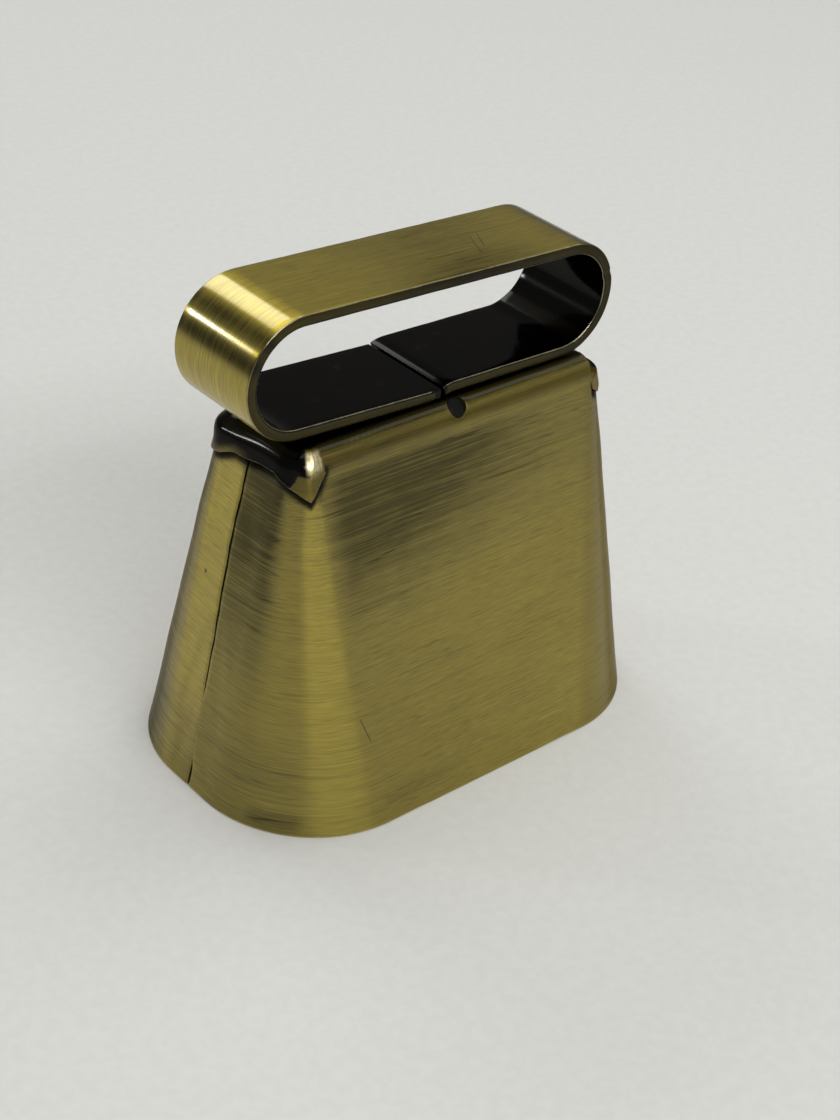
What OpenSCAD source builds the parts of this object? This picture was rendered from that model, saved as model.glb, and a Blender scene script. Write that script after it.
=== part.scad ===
// Small dog bell: a folded and brazed sheet body, a flat collar strap on top,
// and a ball clapper that hangs inside on a wire staple and a ring.
// Millimetres, +Z up. The rim lies on z = 0 and the mouth is centred on the origin.
// The broad front faces -Y and the narrow ends face -X and +X.

/* [Bell body] */
// Height of the body, rim to top plate
body_h = 33.8; // [32:0.1:36]
// Length of the mouth, outside
mouth_l = 45.7; // [44:0.1:48]
// Width of the mouth, outside
mouth_w = 28.1; // [27:0.1:30]
// Corner radius of the mouth, outside
mouth_r = 11.4; // [9:0.1:12.5]
// Length of the top, outside
top_l = 34; // [33.5:0.1:36]
// Width of the top, outside, where the faces would meet the top plate
top_w = 11.1; // [10.8:0.1:12.5]
// Corner radius of the body at the top
top_r = 2; // [1.9:0.1:2.6]
// Thickness of the sheet
sheet_t = 1; // [0.8:0.05:1.05]
// Outer radius of the folds between the broad faces and the top plate
fold_r = 1.5; // [1.2:0.1:1.6]

/* [End tabs] */
// Outer radius of the bend where an end tab turns down from the top plate
tab_bend_r = 1.7; // [1.2:0.1:1.8]
// How far a tab hangs below the top plate, at its middle
tab_drop = 2.1; // [2:0.1:2.6]
// How far the tips of a tab hang below the top plate, at the corners
tab_tip_drop = 3.9; // [3:0.1:4.5]
// How far the lower edge of a tab stands out from the body's taper
tab_lip = 0.12; // [0.05:0.01:0.3]
// How far the side flaps are pressed in where they tuck under a tab
flap_tuck = 0.3; // [0.1:0.05:0.35]

/* [Seams] */
// Width of the slit between the two flaps of a narrow end
seam_gap = 0.25; // [0.2:0.05:0.4]
// Height at which the brazed stretch of a seam starts
braze_low = 2.7; // [2:0.1:4]
// Height at which the brazed stretch of a seam ends
braze_high = 9.2; // [8:0.1:14]
// Width of the bead of braze inside a seam
bead_w = 2.2; // [1.6:0.1:2.6]
// How far the bead stands up from the inner wall
bead_h = 0.5; // [0.3:0.05:0.6]

/* [Collar strap] */
// Width of the strap
strap_w = 9.7; // [8:0.1:10.2]
// Thickness of the strap
strap_t = 1; // [0.8:0.05:1.2]
// Outer radius of the strap's left bend
strap_left_r = 5.42; // [5:0.01:5.8]
// Outer radius of the strap's right bend
strap_right_r = 5.3; // [5:0.01:5.8]
// Distance between the centres of the two bends
strap_span = 28.4; // [26:0.1:30]
// How far the strap's middle lies to the right of the bell's middle
strap_shift = -1.5; // [-2:0.1:0]
// How far the strap lies behind the bell's middle
strap_back = 0.35; // [0:0.05:0.4]
// Gap between the strap and the top plate under the left bend
left_gap = 0.85; // [0.4:0.05:1.2]
// Gap between the strap and the top plate under the right bend
right_gap = 0.1; // [0.05:0.05:0.4]
// Place of the butt joint between the strap's two ends
butt_x = -1; // [-2:0.1:0]
// Gap between the strap's butted ends
butt_gap = 0.2; // [0.1:0.05:0.4]
// How far the right end of the strap lies above the left one at the butt joint
butt_step = 0.35; // [0.1:0.05:0.5]

/* [Clapper] */
// Diameter of the staple's wire
staple_d = 1.4; // [1.2:0.1:1.5]
// Diameter of the holes for the staple, on the fold lines
staple_hole_d = 1.9; // [1.7:0.1:2.1]
// Height of the staple's middle stretch
staple_z = 30.2; // [29.8:0.1:30.3]
// Diameter of the ring's and the clapper's wire
ring_wire_d = 1.2; // [1:0.1:1.3]
// Radius of the ring, to the middle of its wire
ring_r = 2.4; // [2.3:0.1:2.6]
// Radius of the clapper's eye, to the middle of its wire
eye_r = 1.9; // [1.8:0.1:2]
// Diameter of the clapper's ball
ball_d = 9; // [8:0.1:9.4]
// Height of the ball's centre above the rim
ball_z = 5.4; // [5.2:0.1:7]

/* [Hidden] */
brass = [0.50, 0.43, 0.20];
dark_brass = [0.33, 0.29, 0.15];
braze_gold = [0.62, 0.48, 0.22];
dark_steel = [0.20, 0.19, 0.18];
grey_iron = [0.30, 0.29, 0.28];
$fn = 48;

// Sink of one piece into another where they are brazed, welded or pressed together
bite = 0.03;
// Play between two linked wires
play = 0.08;
// Inner radius of every fold
inner_r = 0.5;
// Half the height of the step that the grid makes along a tab's lower edge
ledge = 0.03;
// The same on the plain faces, where the step has no depth
plain_ledge = 0.15;
// Height over which a flap leans in towards its tab
tuck_h = 7;
// How far a tab hangs down where its ear ends on the broad face
ear_drop = 1.35;
// Share of a broad face's flat at which the ears end
ear_f = 0.966;
// Fractions of a broad face's flat, of a narrow end's flat and of the wall's height
broad_f = [-0.983, -ear_f, -0.955, -0.5, 0, 0.5, 0.955, ear_f, 0.983];
narrow_f = [-0.5, 0, 0.5];
wall_u = [0, 0.4, 0.78, 0.86, 0.92, 0.97, 1];
lining_u = [0, 0.5, 0.78, 0.88, 1];
// Steps round each corner, each fold and each bend of the strap
corner_n = 8;
arc_n = 5;
bend_n = 28;
// Corner angle at which a tab's tip lies, counted from the narrow end
tip_a = 90 * (corner_n - 1) / corner_n;

// Blends a into b
function mix(a, b, u) = a + (b - a) * u;
// Rises smoothly from 0 to 1 as u does
function ease(u) = let (c = max(0, min(1, u))) c * c * (3 - 2 * c);
function reversed(v) = [for (i = [len(v) - 1:-1:0]) v[i]];

// The body's level sections are rounded rectangles that change evenly with height
function half_len(z) = mix(mouth_l, top_l, z / body_h) / 2;
function half_wid(z) = mix(mouth_w, top_w, z / body_h) / 2;
function corner_rad(z) = mix(mouth_r, top_r, z / body_h);

// A station is one column of the wall: [share along the length, share along the width,
// direction that it faces]. The list goes once round the section.
function corner(fx, fy, a) = [for (i = [0:corner_n]) [fx, fy, a + 90 * i / corner_n]];
stations = concat(
    [for (f = broad_f) [f, -1, -90]], corner(1, -1, -90),
    [for (f = narrow_f) [1, f, 0]], corner(1, 1, 0),
    [for (f = broad_f) [-f, 1, 90]], corner(-1, 1, 90),
    [for (f = narrow_f) [-1, -f, 180]], corner(-1, -1, 180));
columns = len(stations);

// Point of a station on the section at height ref, moved out by off and set at height z
function wall_point(s, ref, off, z) =
    let (r = corner_rad(ref))
    [s[0] * (half_len(ref) - r) + (r + off) * cos(s[2]),
     s[1] * (half_wid(ref) - r) + (r + off) * sin(s[2]), z];

// How far the wall leans in from upright at a station
rad_slope = (top_r - mouth_r) / body_h;
function lean(s) =
    atan(-(abs(cos(s[2])) * ((top_l - mouth_l) / 2 / body_h - rad_slope)
         + abs(sin(s[2])) * ((top_w - mouth_w) / 2 / body_h - rad_slope) + rad_slope));

// The tab of each narrow end wraps both corners and ends in an ear on each broad face
function in_tab(s) = abs(s[0]) >= ear_f;
function away(s) = abs(asin(sin(s[2])));
tip_z = body_h - tab_tip_drop;
function past_tip(s) =
    corner_rad(tip_z) * (away(s) - tip_a) * PI / 180
    + (1 - abs(s[0])) * (half_len(tip_z) - corner_rad(tip_z));
ear_w = past_tip([ear_f, -1, -90]);
function drop(s) =
    !in_tab(s) ? tab_drop
    : away(s) <= tip_a ? mix(tab_drop, tab_tip_drop, away(s) / tip_a)
    : mix(tab_tip_drop, ear_drop, past_tip(s) / ear_w);
function step(s) = in_tab(s) ? ledge : plain_ledge;
function tuck(s, z) =
    in_tab(s) ? flap_tuck * abs(cos(s[2])) * ease((z - body_h + drop(s) + tuck_h) / tuck_h) : 0;

// One column of the outer surface, rim to top plate
function outer_column(s) =
    let (low = body_h - drop(s),
         lip = in_tab(s) ? tab_lip : 0,
         r = mix(fold_r, tab_bend_r, abs(cos(s[2]))),
         a0 = lean(s),
         start = body_h - r + r * sin(a0))
    concat(
        [for (u = wall_u) let (z = (low - step(s)) * u) wall_point(s, z, -tuck(s, z), z)],
        [wall_point(s, low + step(s), lip, low + step(s))],
        [let (z = mix(low + step(s), start, 0.5)) wall_point(s, z, lip / 2, z)],
        [for (i = [0:arc_n]) let (a = mix(a0, 90, i / arc_n))
            wall_point(s, start, r * (cos(a) - cos(a0)), body_h - r + r * sin(a))]);

// One column of the inner surface, rim to the underside of the top plate
function inner_column(s) =
    let (a0 = lean(s),
         roof = body_h - sheet_t,
         start = roof - inner_r + inner_r * sin(a0))
    concat(
        [for (u = lining_u) let (z = start * u) wall_point(s, z, -sheet_t - tuck(s, z), z)],
        [for (i = [1:2]) let (a = mix(a0, 90, i / 2))
            wall_point(s, start, -sheet_t - tuck(s, start) + inner_r * (cos(a) - cos(a0)),
                       roof - inner_r + inner_r * sin(a))]);

// The folded sheet as one closed solid, without its slits and holes
module sheet_body() {
    outer = [for (s = stations) outer_column(s)];
    inner = [for (s = stations) inner_column(s)];
    n_out = len(outer[0]);
    n_in = len(inner[0]);
    base = columns * n_out;
    hub = base + columns * n_in;
    points = concat([for (c = outer) for (p = c) p], [for (c = inner) for (p = c) p],
                    [[0, 0, body_h], [0, 0, body_h - sheet_t]]);
    skin = [for (j = [0:columns - 1]) for (i = [0:n_out - 2])
        let (k = (j + 1) % columns, a = j * n_out + i, b = k * n_out + i)
        for (f = [[a, a + 1, b + 1], [a, b + 1, b]]) f];
    lining = [for (j = [0:columns - 1]) for (i = [0:n_in - 2])
        let (k = (j + 1) % columns, a = base + j * n_in + i, b = base + k * n_in + i)
        for (f = [[a, b + 1, a + 1], [a, b, b + 1]]) f];
    rim = [for (j = [0:columns - 1])
        let (k = (j + 1) % columns, a = j * n_out, b = k * n_out, c = base + k * n_in, d = base + j * n_in)
        for (f = [[a, b, c], [a, c, d]]) f];
    top_plate = [for (j = [0:columns - 1]) let (k = (j + 1) % columns)
        [k * n_out + n_out - 1, j * n_out + n_out - 1, hub]];
    roof = [for (j = [0:columns - 1]) let (k = (j + 1) % columns)
        [base + j * n_in + n_in - 1, base + k * n_in + n_in - 1, hub + 1]];
    polyhedron(points, concat(skin, lining, rim, top_plate, roof), convexity = 8);
}

// The staple's holes lie on the fold lines and point out at 45 degrees
fold_lean = lean([0, -1, -90]);
fold_start = body_h - fold_r + fold_r * sin(fold_lean);
fold_y = half_wid(fold_start) - fold_r * cos(fold_lean);
fold_z = body_h - fold_r;
module along_hole(side) {
    translate([0, side * fold_y, fold_z]) rotate([-side * 45, 0, 0]) children();
}

seam_top = body_h - tab_drop - 0.5;
module bell_shell() {
    color(brass) difference() {
        sheet_body();
        for (side = [-1, 1]) {
            along_hole(side) cylinder(d = staple_hole_d, h = 3);
            translate([side * (half_len(0) - 4), 0, seam_top / 2 - 1])
                cube([10, seam_gap, seam_top + 2], center = true);
        }
    }
}

// Braze that closes the lower part of a seam: a thin web in the slit and a bead inside
end_lean = lean([1, 0, 0]);
web_back = 0.1;
module seam_braze(side) {
    web_out = [for (z = [braze_low, braze_high]) [side * (half_len(z) - web_back), z]];
    web_in = [for (z = [braze_high, braze_low]) [side * (half_len(z) - sheet_t - bead_h / 2), z]];
    bead_r = (pow(bead_w / 2, 2) + pow(bead_h, 2)) / 2 / bead_h;
    union() {
        rotate([90, 0, 0]) linear_extrude(seam_gap + 2 * bite, center = true)
            polygon(concat(web_out, web_in));
        translate([side * (half_len(braze_low) - sheet_t), 0, braze_low]) rotate([0, -side * end_lean, 0])
            linear_extrude((braze_high - braze_low) / cos(end_lean)) difference() {
                translate([side * (bead_r - bead_h), 0]) circle(bead_r);
                translate([side * (bead_r + bite), 0]) square(2 * bead_r, center = true);
            }
    }
}
module left_seam_braze() { color(braze_gold) seam_braze(-1); }
module right_seam_braze() { color(braze_gold) seam_braze(1); }

// The strap follows a line in the XZ plane: run, left bend, top run, right bend, run.
// Each entry is [x, z, heading], on the middle of the strip's thickness.
left_mid_r = strap_left_r - strap_t / 2;
right_mid_r = strap_right_r - strap_t / 2;
left_c = [strap_shift - strap_span / 2, body_h + left_gap + strap_left_r];
right_c = [strap_shift + strap_span / 2, body_h + right_gap + strap_right_r];
end_low = body_h + 0.05 + strap_t / 2;
left_end = [butt_x - butt_gap / 2, end_low];
curl_r = 3;
curl_a = 24;
right_end = [butt_x + butt_gap / 2 + (curl_r + strap_t / 2) * sin(curl_a), end_low + butt_step];
function bearing(p, q) = atan2(q[1] - p[1], q[0] - p[0]);
// Heading of the line that leaves p and touches the underside of a bend
function tangent(p, c, r, side) = bearing(p, c) + side * asin(r / norm(c - p));
left_run_a = tangent(left_end, left_c, left_mid_r, 1);
right_run_a = tangent(right_end, right_c, right_mid_r, -1) + 180;
top_run_a = bearing(left_c, right_c) + asin((right_mid_r - left_mid_r) / norm(right_c - left_c));
function bend(c, r, from, to) = [for (i = [0:bend_n]) let (h = mix(from, to, i / bend_n))
    [c[0] + r * cos(h + 90), c[1] + r * sin(h + 90), h]];
// The last stretch of the right end curls down towards the top plate
curl = [for (i = [1:4]) let (h = right_run_a + curl_a * i / 4)
    [right_end[0] + curl_r * (sin(h) - sin(right_run_a)),
     right_end[1] - curl_r * (cos(h) - cos(right_run_a)), h]];
strap_line = concat(
    [[left_end[0], left_end[1], left_run_a]],
    bend(left_c, left_mid_r, left_run_a, top_run_a),
    bend(right_c, right_mid_r, top_run_a, right_run_a - 360),
    [[right_end[0], right_end[1], right_run_a]],
    curl);
function strip_side(side) = [for (p = strap_line)
    [p[0] - side * strap_t / 2 * sin(p[2]), p[1] + side * strap_t / 2 * cos(p[2])]];
module collar_strap() {
    color(brass) translate([0, strap_back, 0]) rotate([90, 0, 0])
        linear_extrude(strap_w, center = true)
            polygon(concat(strip_side(1), reversed(strip_side(-1))));
}

// Two welds join the strap's runs to the top plate, left and right of the butt joint
weld_l = 3.2;
weld_w = 5;
weld_edge = 0.7;
function run_under(p, a, x) = p[1] - strap_t / 2 / abs(cos(a)) + (x - p[0]) * tan(a);
module weld(x0, x1, p, a) {
    translate([0, strap_back, 0]) rotate([90, 0, 0]) linear_extrude(weld_w, center = true)
        polygon([[x0, body_h - bite], [x1, body_h - bite],
                 [x1, run_under(p, a, x1) + bite], [x0, run_under(p, a, x0) + bite]]);
}
module strap_weld() {
    left_x = left_end[0] - weld_edge;
    right_x = right_end[0] + weld_edge;
    color(dark_brass) {
        weld(left_x - weld_l, left_x, left_end, left_run_a);
        weld(right_x, right_x + weld_l, right_end, right_run_a);
    }
}

// The staple: a level stretch that carries the ring, two sloping legs, and headed ends
// that fill the holes in the folds
leg_foot = fold_y - (fold_z - staple_z);
leg_l = (fold_z - staple_z) * sqrt(2);
leg_d = staple_d - 0.1;
elbow_d = staple_d + 0.1;
head_from = 0.75;
head_to = 1.2;
module hanger_staple() {
    color(dark_steel) {
        translate([0, 0, staple_z]) rotate([90, 0, 0])
            cylinder(d = staple_d, h = 2 * leg_foot, center = true);
        for (side = [-1, 1]) {
            translate([0, side * leg_foot, staple_z]) sphere(d = elbow_d);
            along_hole(side) translate([0, 0, -leg_l]) cylinder(d = leg_d, h = leg_l + head_to);
            along_hole(side) translate([0, 0, head_from])
                cylinder(d = staple_hole_d + 2 * bite, h = head_to - head_from);
        }
    }
}

// The ring hangs on the staple, and the clapper's eye hangs on the ring
ring_z = staple_z + staple_d / 2 + play - (ring_r - ring_wire_d / 2);
ring_low = ring_z - ring_r;
eye_z = ring_low + ring_wire_d / 2 + play - (eye_r - ring_wire_d / 2);
module wire_ring(r) {
    rotate_extrude() translate([r, 0]) circle(d = ring_wire_d);
}
module clapper_ring() {
    color(dark_steel) translate([0, 0, ring_z]) rotate([90, 0, 0]) wire_ring(ring_r);
}

wrap_d = 2.1;
wrap_l = 2;
foot_z = ball_z - ball_d / 2;
foot_d = 2.2;
foot_h = 0.4;
bore_from = foot_z + 0.45;
module clapper_wire() {
    color(dark_steel) {
        translate([0, 0, eye_z]) rotate([0, 90, 0]) wire_ring(eye_r);
        translate([0, 0, eye_z - eye_r - wrap_l]) cylinder(d = wrap_d, h = wrap_l);
        translate([0, 0, bore_from]) cylinder(d = ring_wire_d, h = eye_z - eye_r - bore_from - 1);
        translate([0, 0, bore_from - foot_h]) cylinder(d = foot_d, h = foot_h);
    }
}

// The ball is drilled through, with a flat for the wire's riveted foot
module clapper_ball() {
    color(grey_iron) difference() {
        translate([0, 0, ball_z]) sphere(d = ball_d, $fn = 64);
        cylinder(d = ring_wire_d - bite, h = body_h / 2);
        translate([0, 0, bore_from - ball_d]) cylinder(d = ball_d, h = ball_d);
    }
}

bell_shell();
left_seam_braze();
right_seam_braze();
collar_strap();
strap_weld();
hanger_staple();
clapper_ring();
clapper_wire();
clapper_ball();
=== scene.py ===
"""Looks of a small dog bell: folded brass sheet body, flat collar strap and a hanging ball clapper.

Lengths are in metres. +Z is up, the rim lies on z = 0 and the broad front faces -Y.
"""

import math

import bmesh
import bpy
import numpy as np
from mathutils import Matrix


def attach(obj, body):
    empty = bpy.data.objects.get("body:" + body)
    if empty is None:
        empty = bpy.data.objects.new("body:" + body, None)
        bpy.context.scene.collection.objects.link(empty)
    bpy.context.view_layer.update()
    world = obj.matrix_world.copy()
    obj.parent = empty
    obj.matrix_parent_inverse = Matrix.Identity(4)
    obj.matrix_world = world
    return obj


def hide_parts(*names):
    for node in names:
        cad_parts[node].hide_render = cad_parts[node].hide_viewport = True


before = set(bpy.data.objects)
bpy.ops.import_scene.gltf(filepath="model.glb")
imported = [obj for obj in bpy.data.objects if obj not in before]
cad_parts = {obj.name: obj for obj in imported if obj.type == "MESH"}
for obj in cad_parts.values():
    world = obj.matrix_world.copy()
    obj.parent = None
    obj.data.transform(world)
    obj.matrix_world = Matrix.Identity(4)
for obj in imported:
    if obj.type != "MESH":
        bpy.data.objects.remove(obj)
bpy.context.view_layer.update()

bl_info = {
    "name": "Dog bell",
    "version": (1, 0, 0),
    "blender": (4, 5, 0),
    "location": "3D View > Sidebar > Dog bell",
    "description": "Builds a brushed antique brass dog bell piece by piece",
    "category": "Add Mesh",
}

MM = 0.001
TINY = 1e-9
GRAIN_MAP = "grain"


# Settings

def length(label, mm, text):
    """A length property whose default is given in millimetres."""
    return bpy.props.FloatProperty(
        name=label, description=text, default=mm * MM, subtype="DISTANCE", unit="LENGTH")


def angle(label, degrees, text):
    """An angle property whose default is given in degrees."""
    return bpy.props.FloatProperty(
        name=label, description=text, default=math.radians(degrees), subtype="ANGLE", unit="ROTATION")


def share(label, value, text):
    """A plain number from 0 to 1."""
    return bpy.props.FloatProperty(name=label, description=text, default=value, min=0, max=1)


def colour(label, rgb, text):
    """A colour property."""
    return bpy.props.FloatVectorProperty(
        name=label, description=text, default=rgb, size=3, min=0, max=1, subtype="COLOR")


class BellBodySizes(bpy.types.PropertyGroup):
    """Sizes of the folded body"""
    height: length("Height", 33.8, "From the rim to the top plate")
    mouth_long: length("Mouth length", 45.7, "Outside length of the mouth")
    mouth_wide: length("Mouth width", 28.1, "Outside width of the mouth")
    mouth_corner: length("Mouth corner", 11.4, "Outside corner radius at the mouth")
    top_long: length("Top length", 34, "Outside length at the top")
    top_wide: length("Top width", 11.1, "Width where the faces would meet the top plate")
    top_corner: length("Top corner", 2, "Corner radius at the top")
    sheet: length("Sheet", 1, "Thickness of the sheet")
    fold: length("Fold radius", 1.5, "Outer radius of the folds of the broad faces")
    fold_inside: length("Inner fold radius", 0.5, "Inner radius of the folds")
    tab_bend: length("Tab bend", 1.7, "Outer radius of the bend into an end tab")
    tab_drop: length("Tab drop", 2.1, "How far a tab hangs down at its middle")
    tip_drop: length("Tip drop", 3.9, "How far a tab's tips hang down")
    ear_drop: length("Ear drop", 1.35, "How far a tab hangs down where its ear ends")
    ear_share: share("Ear end", 0.966, "Share of a broad face's flat at which an ear ends")
    lip: length("Tab lip", 0.14, "How far a tab's lower edge stands out")
    tuck: length("Flap tuck", 0.3, "How far the flaps are pressed in under a tab")
    tuck_height: length("Tuck height", 7, "Height over which a flap leans in")
    seam_gap: length("Seam gap", 0.25, "Width of the open seam")
    seam_closed_from: length("Braze start", 2.7, "Height at which the brazed stretch starts")
    seam_closed_to: length("Braze end", 9.2, "Height at which the brazed stretch ends")
    hole: length("Staple hole", 1.9, "Diameter of the holes on the fold lines")


class StrapSizes(bpy.types.PropertyGroup):
    """Sizes of the collar strap"""
    width: length("Width", 9.7, "Width of the strip")
    thickness: length("Thickness", 1, "Thickness of the strip")
    left_bend: length("Left bend", 5.42, "Outer radius of the left bend")
    right_bend: length("Right bend", 5.3, "Outer radius of the right bend")
    span: length("Span", 28.4, "Distance between the centres of the bends")
    shift: length("Shift", -1.5, "Place of the strap's middle along the bell")
    back: length("Back", 0.35, "How far the strap lies behind the bell's middle")
    left_gap: length("Left gap", 0.85, "Gap under the left bend")
    right_gap: length("Right gap", 0.1, "Gap under the right bend")
    run_gap: length("Run gap", 0.05, "Gap under the left end of the strip")
    butt: length("Butt joint", -1, "Place of the butt joint along the bell")
    butt_gap: length("Butt gap", 0.2, "Gap between the butted ends")
    butt_step: length("Butt step", 0.35, "How far the right end lies above the left one")
    curl: length("Curl radius", 3, "Radius of the right end's curl")
    curl_angle: angle("Curl angle", 24, "How far the right end curls down")


class ClapperSizes(bpy.types.PropertyGroup):
    """Sizes of the staple, the ring and the clapper"""
    staple: length("Staple wire", 1.4, "Diameter of the staple's wire")
    staple_height: length("Staple height", 30.2, "Height of the staple's level stretch")
    wire: length("Wire", 1.2, "Diameter of the ring's and the clapper's wire")
    ring: length("Ring radius", 2.4, "Radius of the ring, to the middle of its wire")
    eye: length("Eye radius", 1.9, "Radius of the clapper's eye, to the middle of its wire")
    play: length("Play", 0.08, "Play between two linked wires")
    ball: length("Ball", 9, "Diameter of the ball")
    ball_height: length("Ball height", 5.4, "Height of the ball's centre")


class FinishColours(bpy.types.PropertyGroup):
    """Colours of the finishes"""
    brass: colour("Brass", (0.46, 0.362, 0.047), "Brushed brass where it is bare")
    olive: colour("Olive brass", (0.215, 0.172, 0.021), "Brass under the thin brown lacquer")
    warm: colour("Warm brass", (0.39, 0.285, 0.043), "Warmer patches of the lacquer")
    # painted shade: a deep gold that darkens the band under the folds, the ear's facet and the right front
    # edge, where they reflect dark surroundings
    gold_shade: colour("Golden brass", (0.15, 0.105, 0.004), "Deep yellow lacquer along the folds")
    bare_brass: colour("Bare brass", (0.6, 0.53, 0.3), "Brass rubbed bright at its edges")
    patina: colour("Patina", (0.05, 0.042, 0.008), "Dark patina in the strokes of the brush")
    # this black also paints the shadows under the tabs and beside the ear
    black: colour("Black", (0.002, 0.002, 0.0014), "Blackened brass in the folds and inside")
    lining: colour("Lining", (0.17, 0.135, 0.085), "Dark brown oxide inside the body")
    steel: colour("Steel", (0.16, 0.152, 0.142), "Blackened steel wire")
    iron: colour("Iron", (0.17, 0.16, 0.15), "Dark cast iron")
    bare_iron: colour("Bare iron", (0.36, 0.35, 0.33), "Iron and steel where they rub bright")
    braze: colour("Braze", (0.4, 0.3, 0.11), "Brazing brass")
    floor: colour("Floor", (0.62, 0.62, 0.595), "Pale floor")
    world: colour("World", (0.22, 0.22, 0.215), "Plain grey round the stage")


class DogBellSettings(bpy.types.PropertyGroup):
    """All settings of the bell"""
    body: bpy.props.PointerProperty(type=BellBodySizes)
    strap: bpy.props.PointerProperty(type=StrapSizes)
    clapper: bpy.props.PointerProperty(type=ClapperSizes)
    finish: bpy.props.PointerProperty(type=FinishColours)


def settings():
    """The scene's bell settings."""
    return bpy.context.scene.dog_bell


# Shape helpers

def mix(a, b, u):
    """Blends a into b."""
    return a + (b - a) * u


def ramp(x, start, end):
    """Rises smoothly from 0 at start to 1 at end, which may lie below start."""
    c = np.clip((x - start) / (end - start), 0, 1)
    return c * c * (3 - 2 * c)


def hump(x, middle, half_width):
    """A smooth bump of height 1 round the middle, 0 at half_width away."""
    return ramp(np.abs(x - middle), half_width, 0)


def bell_curve(x, middle, width):
    """A bell curve of height 1 round the middle."""
    return np.exp(-((x - middle) / width) ** 2)


def waves(x, *terms):
    """Sum of sines, each (height, length of a wave, shift)."""
    return sum(h * np.sin(2 * math.pi * x / w + s) for h, w, s in terms)


def most(first, *others):
    """The largest of several values, place by place."""
    for each in others:
        first = np.maximum(first, each)
    return first


def path_length(path):
    """Distance along a path at each of its points."""
    return np.concatenate([[0], np.cumsum(np.linalg.norm(np.diff(path, axis=0), axis=1))])


def ring_angles(count):
    """Angles of the points of a circle."""
    return np.arange(count) * 2 * math.pi / count


def once_round(count, radius):
    """Distance round a circle at each of its points, and the full turn."""
    return np.append(ring_angles(count), 2 * math.pi) * radius


def grid_quads(rows, columns, wrap_rows, wrap_columns):
    """Vertex indices and grid corners of the quads of a rows x columns grid.

    The first index of a vertex is its row. Corner places keep counting past the last row or
    column where the grid closes on itself, so that a map along it has no backward jump.
    """
    r = np.arange(rows if wrap_rows else rows - 1)
    c = np.arange(columns if wrap_columns else columns - 1)
    r, c = (k.ravel() for k in np.meshgrid(r, c, indexing="ij"))
    place_r = np.stack([r, r + 1, r + 1, r], 1)
    place_c = np.stack([c, c, c + 1, c + 1], 1)
    return (place_r % rows) * columns + place_c % columns, place_r, place_c


def make_piece(name, points, quads, corner_map, values, material, sharp=38):
    """A mesh object from numpy arrays: points (n, 3), quads (m, 4), a map place for each quad
    corner (m, 4, 2) and point values by name. Quads that close to an edge at a pole or a seam
    are merged there, and the faces are smooth apart from edges sharper than the given degrees."""
    mesh = bpy.data.meshes.new(name)

    def fill(target, key, value, kind=np.float32):
        target.foreach_set(key, np.ascontiguousarray(value, kind).ravel())

    mesh.vertices.add(len(points))
    mesh.loops.add(quads.size)
    mesh.polygons.add(len(quads))
    fill(mesh.vertices, "co", points)
    fill(mesh.loops, "vertex_index", quads, np.int32)
    fill(mesh.polygons, "loop_start", np.arange(0, quads.size, 4), np.int32)
    fill(mesh.polygons, "loop_total", np.full(len(quads), 4), np.int32)
    mesh.update(calc_edges=True)
    fill(mesh.uv_layers.new(name=GRAIN_MAP).data, "uv", corner_map)
    for key, value in values.items():
        fill(mesh.attributes.new(key, "FLOAT", "POINT").data, "value", value)
    shell = bmesh.new()
    shell.from_mesh(mesh)
    bmesh.ops.remove_doubles(shell, verts=shell.verts, dist=0.5e-6)
    bmesh.ops.delete(shell, geom=[v for v in shell.verts if not v.link_faces], context="VERTS")
    bmesh.ops.recalc_face_normals(shell, faces=shell.faces)
    shell.to_mesh(mesh)
    shell.free()
    mesh.shade_smooth()
    mesh.set_sharp_from_angle(angle=math.radians(sharp))
    mesh.materials.append(material)
    piece = bpy.data.objects.new(name, mesh)
    bpy.context.scene.collection.objects.link(piece)
    return piece


class Shell:
    """Collects grids of points into one mesh."""

    def __init__(self):
        self.points, self.quads, self.places, self.values = [], [], [], {}
        self.count = 0

    def add(self, grid, along, across, values=None, wrap_rows=False, wrap_columns=True):
        """Adds a grid (rows, columns, 3). along and across give the map place of each row and
        column in metres, with one more entry where the grid closes on itself."""
        rows, columns = grid.shape[:2]
        quads, r, c = grid_quads(rows, columns, wrap_rows, wrap_columns)
        self.points.append(grid.reshape(-1, 3))
        self.quads.append(quads + self.count)
        self.places.append(np.stack([np.asarray(along)[r], np.asarray(across)[c]], -1) / MM)
        for key, value in (values or {}).items():
            self.values.setdefault(key, []).append(
                np.broadcast_to(value, (rows, columns)).astype(float).ravel())
        self.count += rows * columns

    def make(self, name, material, **options):
        """The finished object."""
        values = {key: np.concatenate(parts) for key, parts in self.values.items()}
        return make_piece(name, np.concatenate(self.points), np.concatenate(self.quads),
                          np.concatenate(self.places), values, material, **options)


WIRE_SIDES = 28


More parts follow.
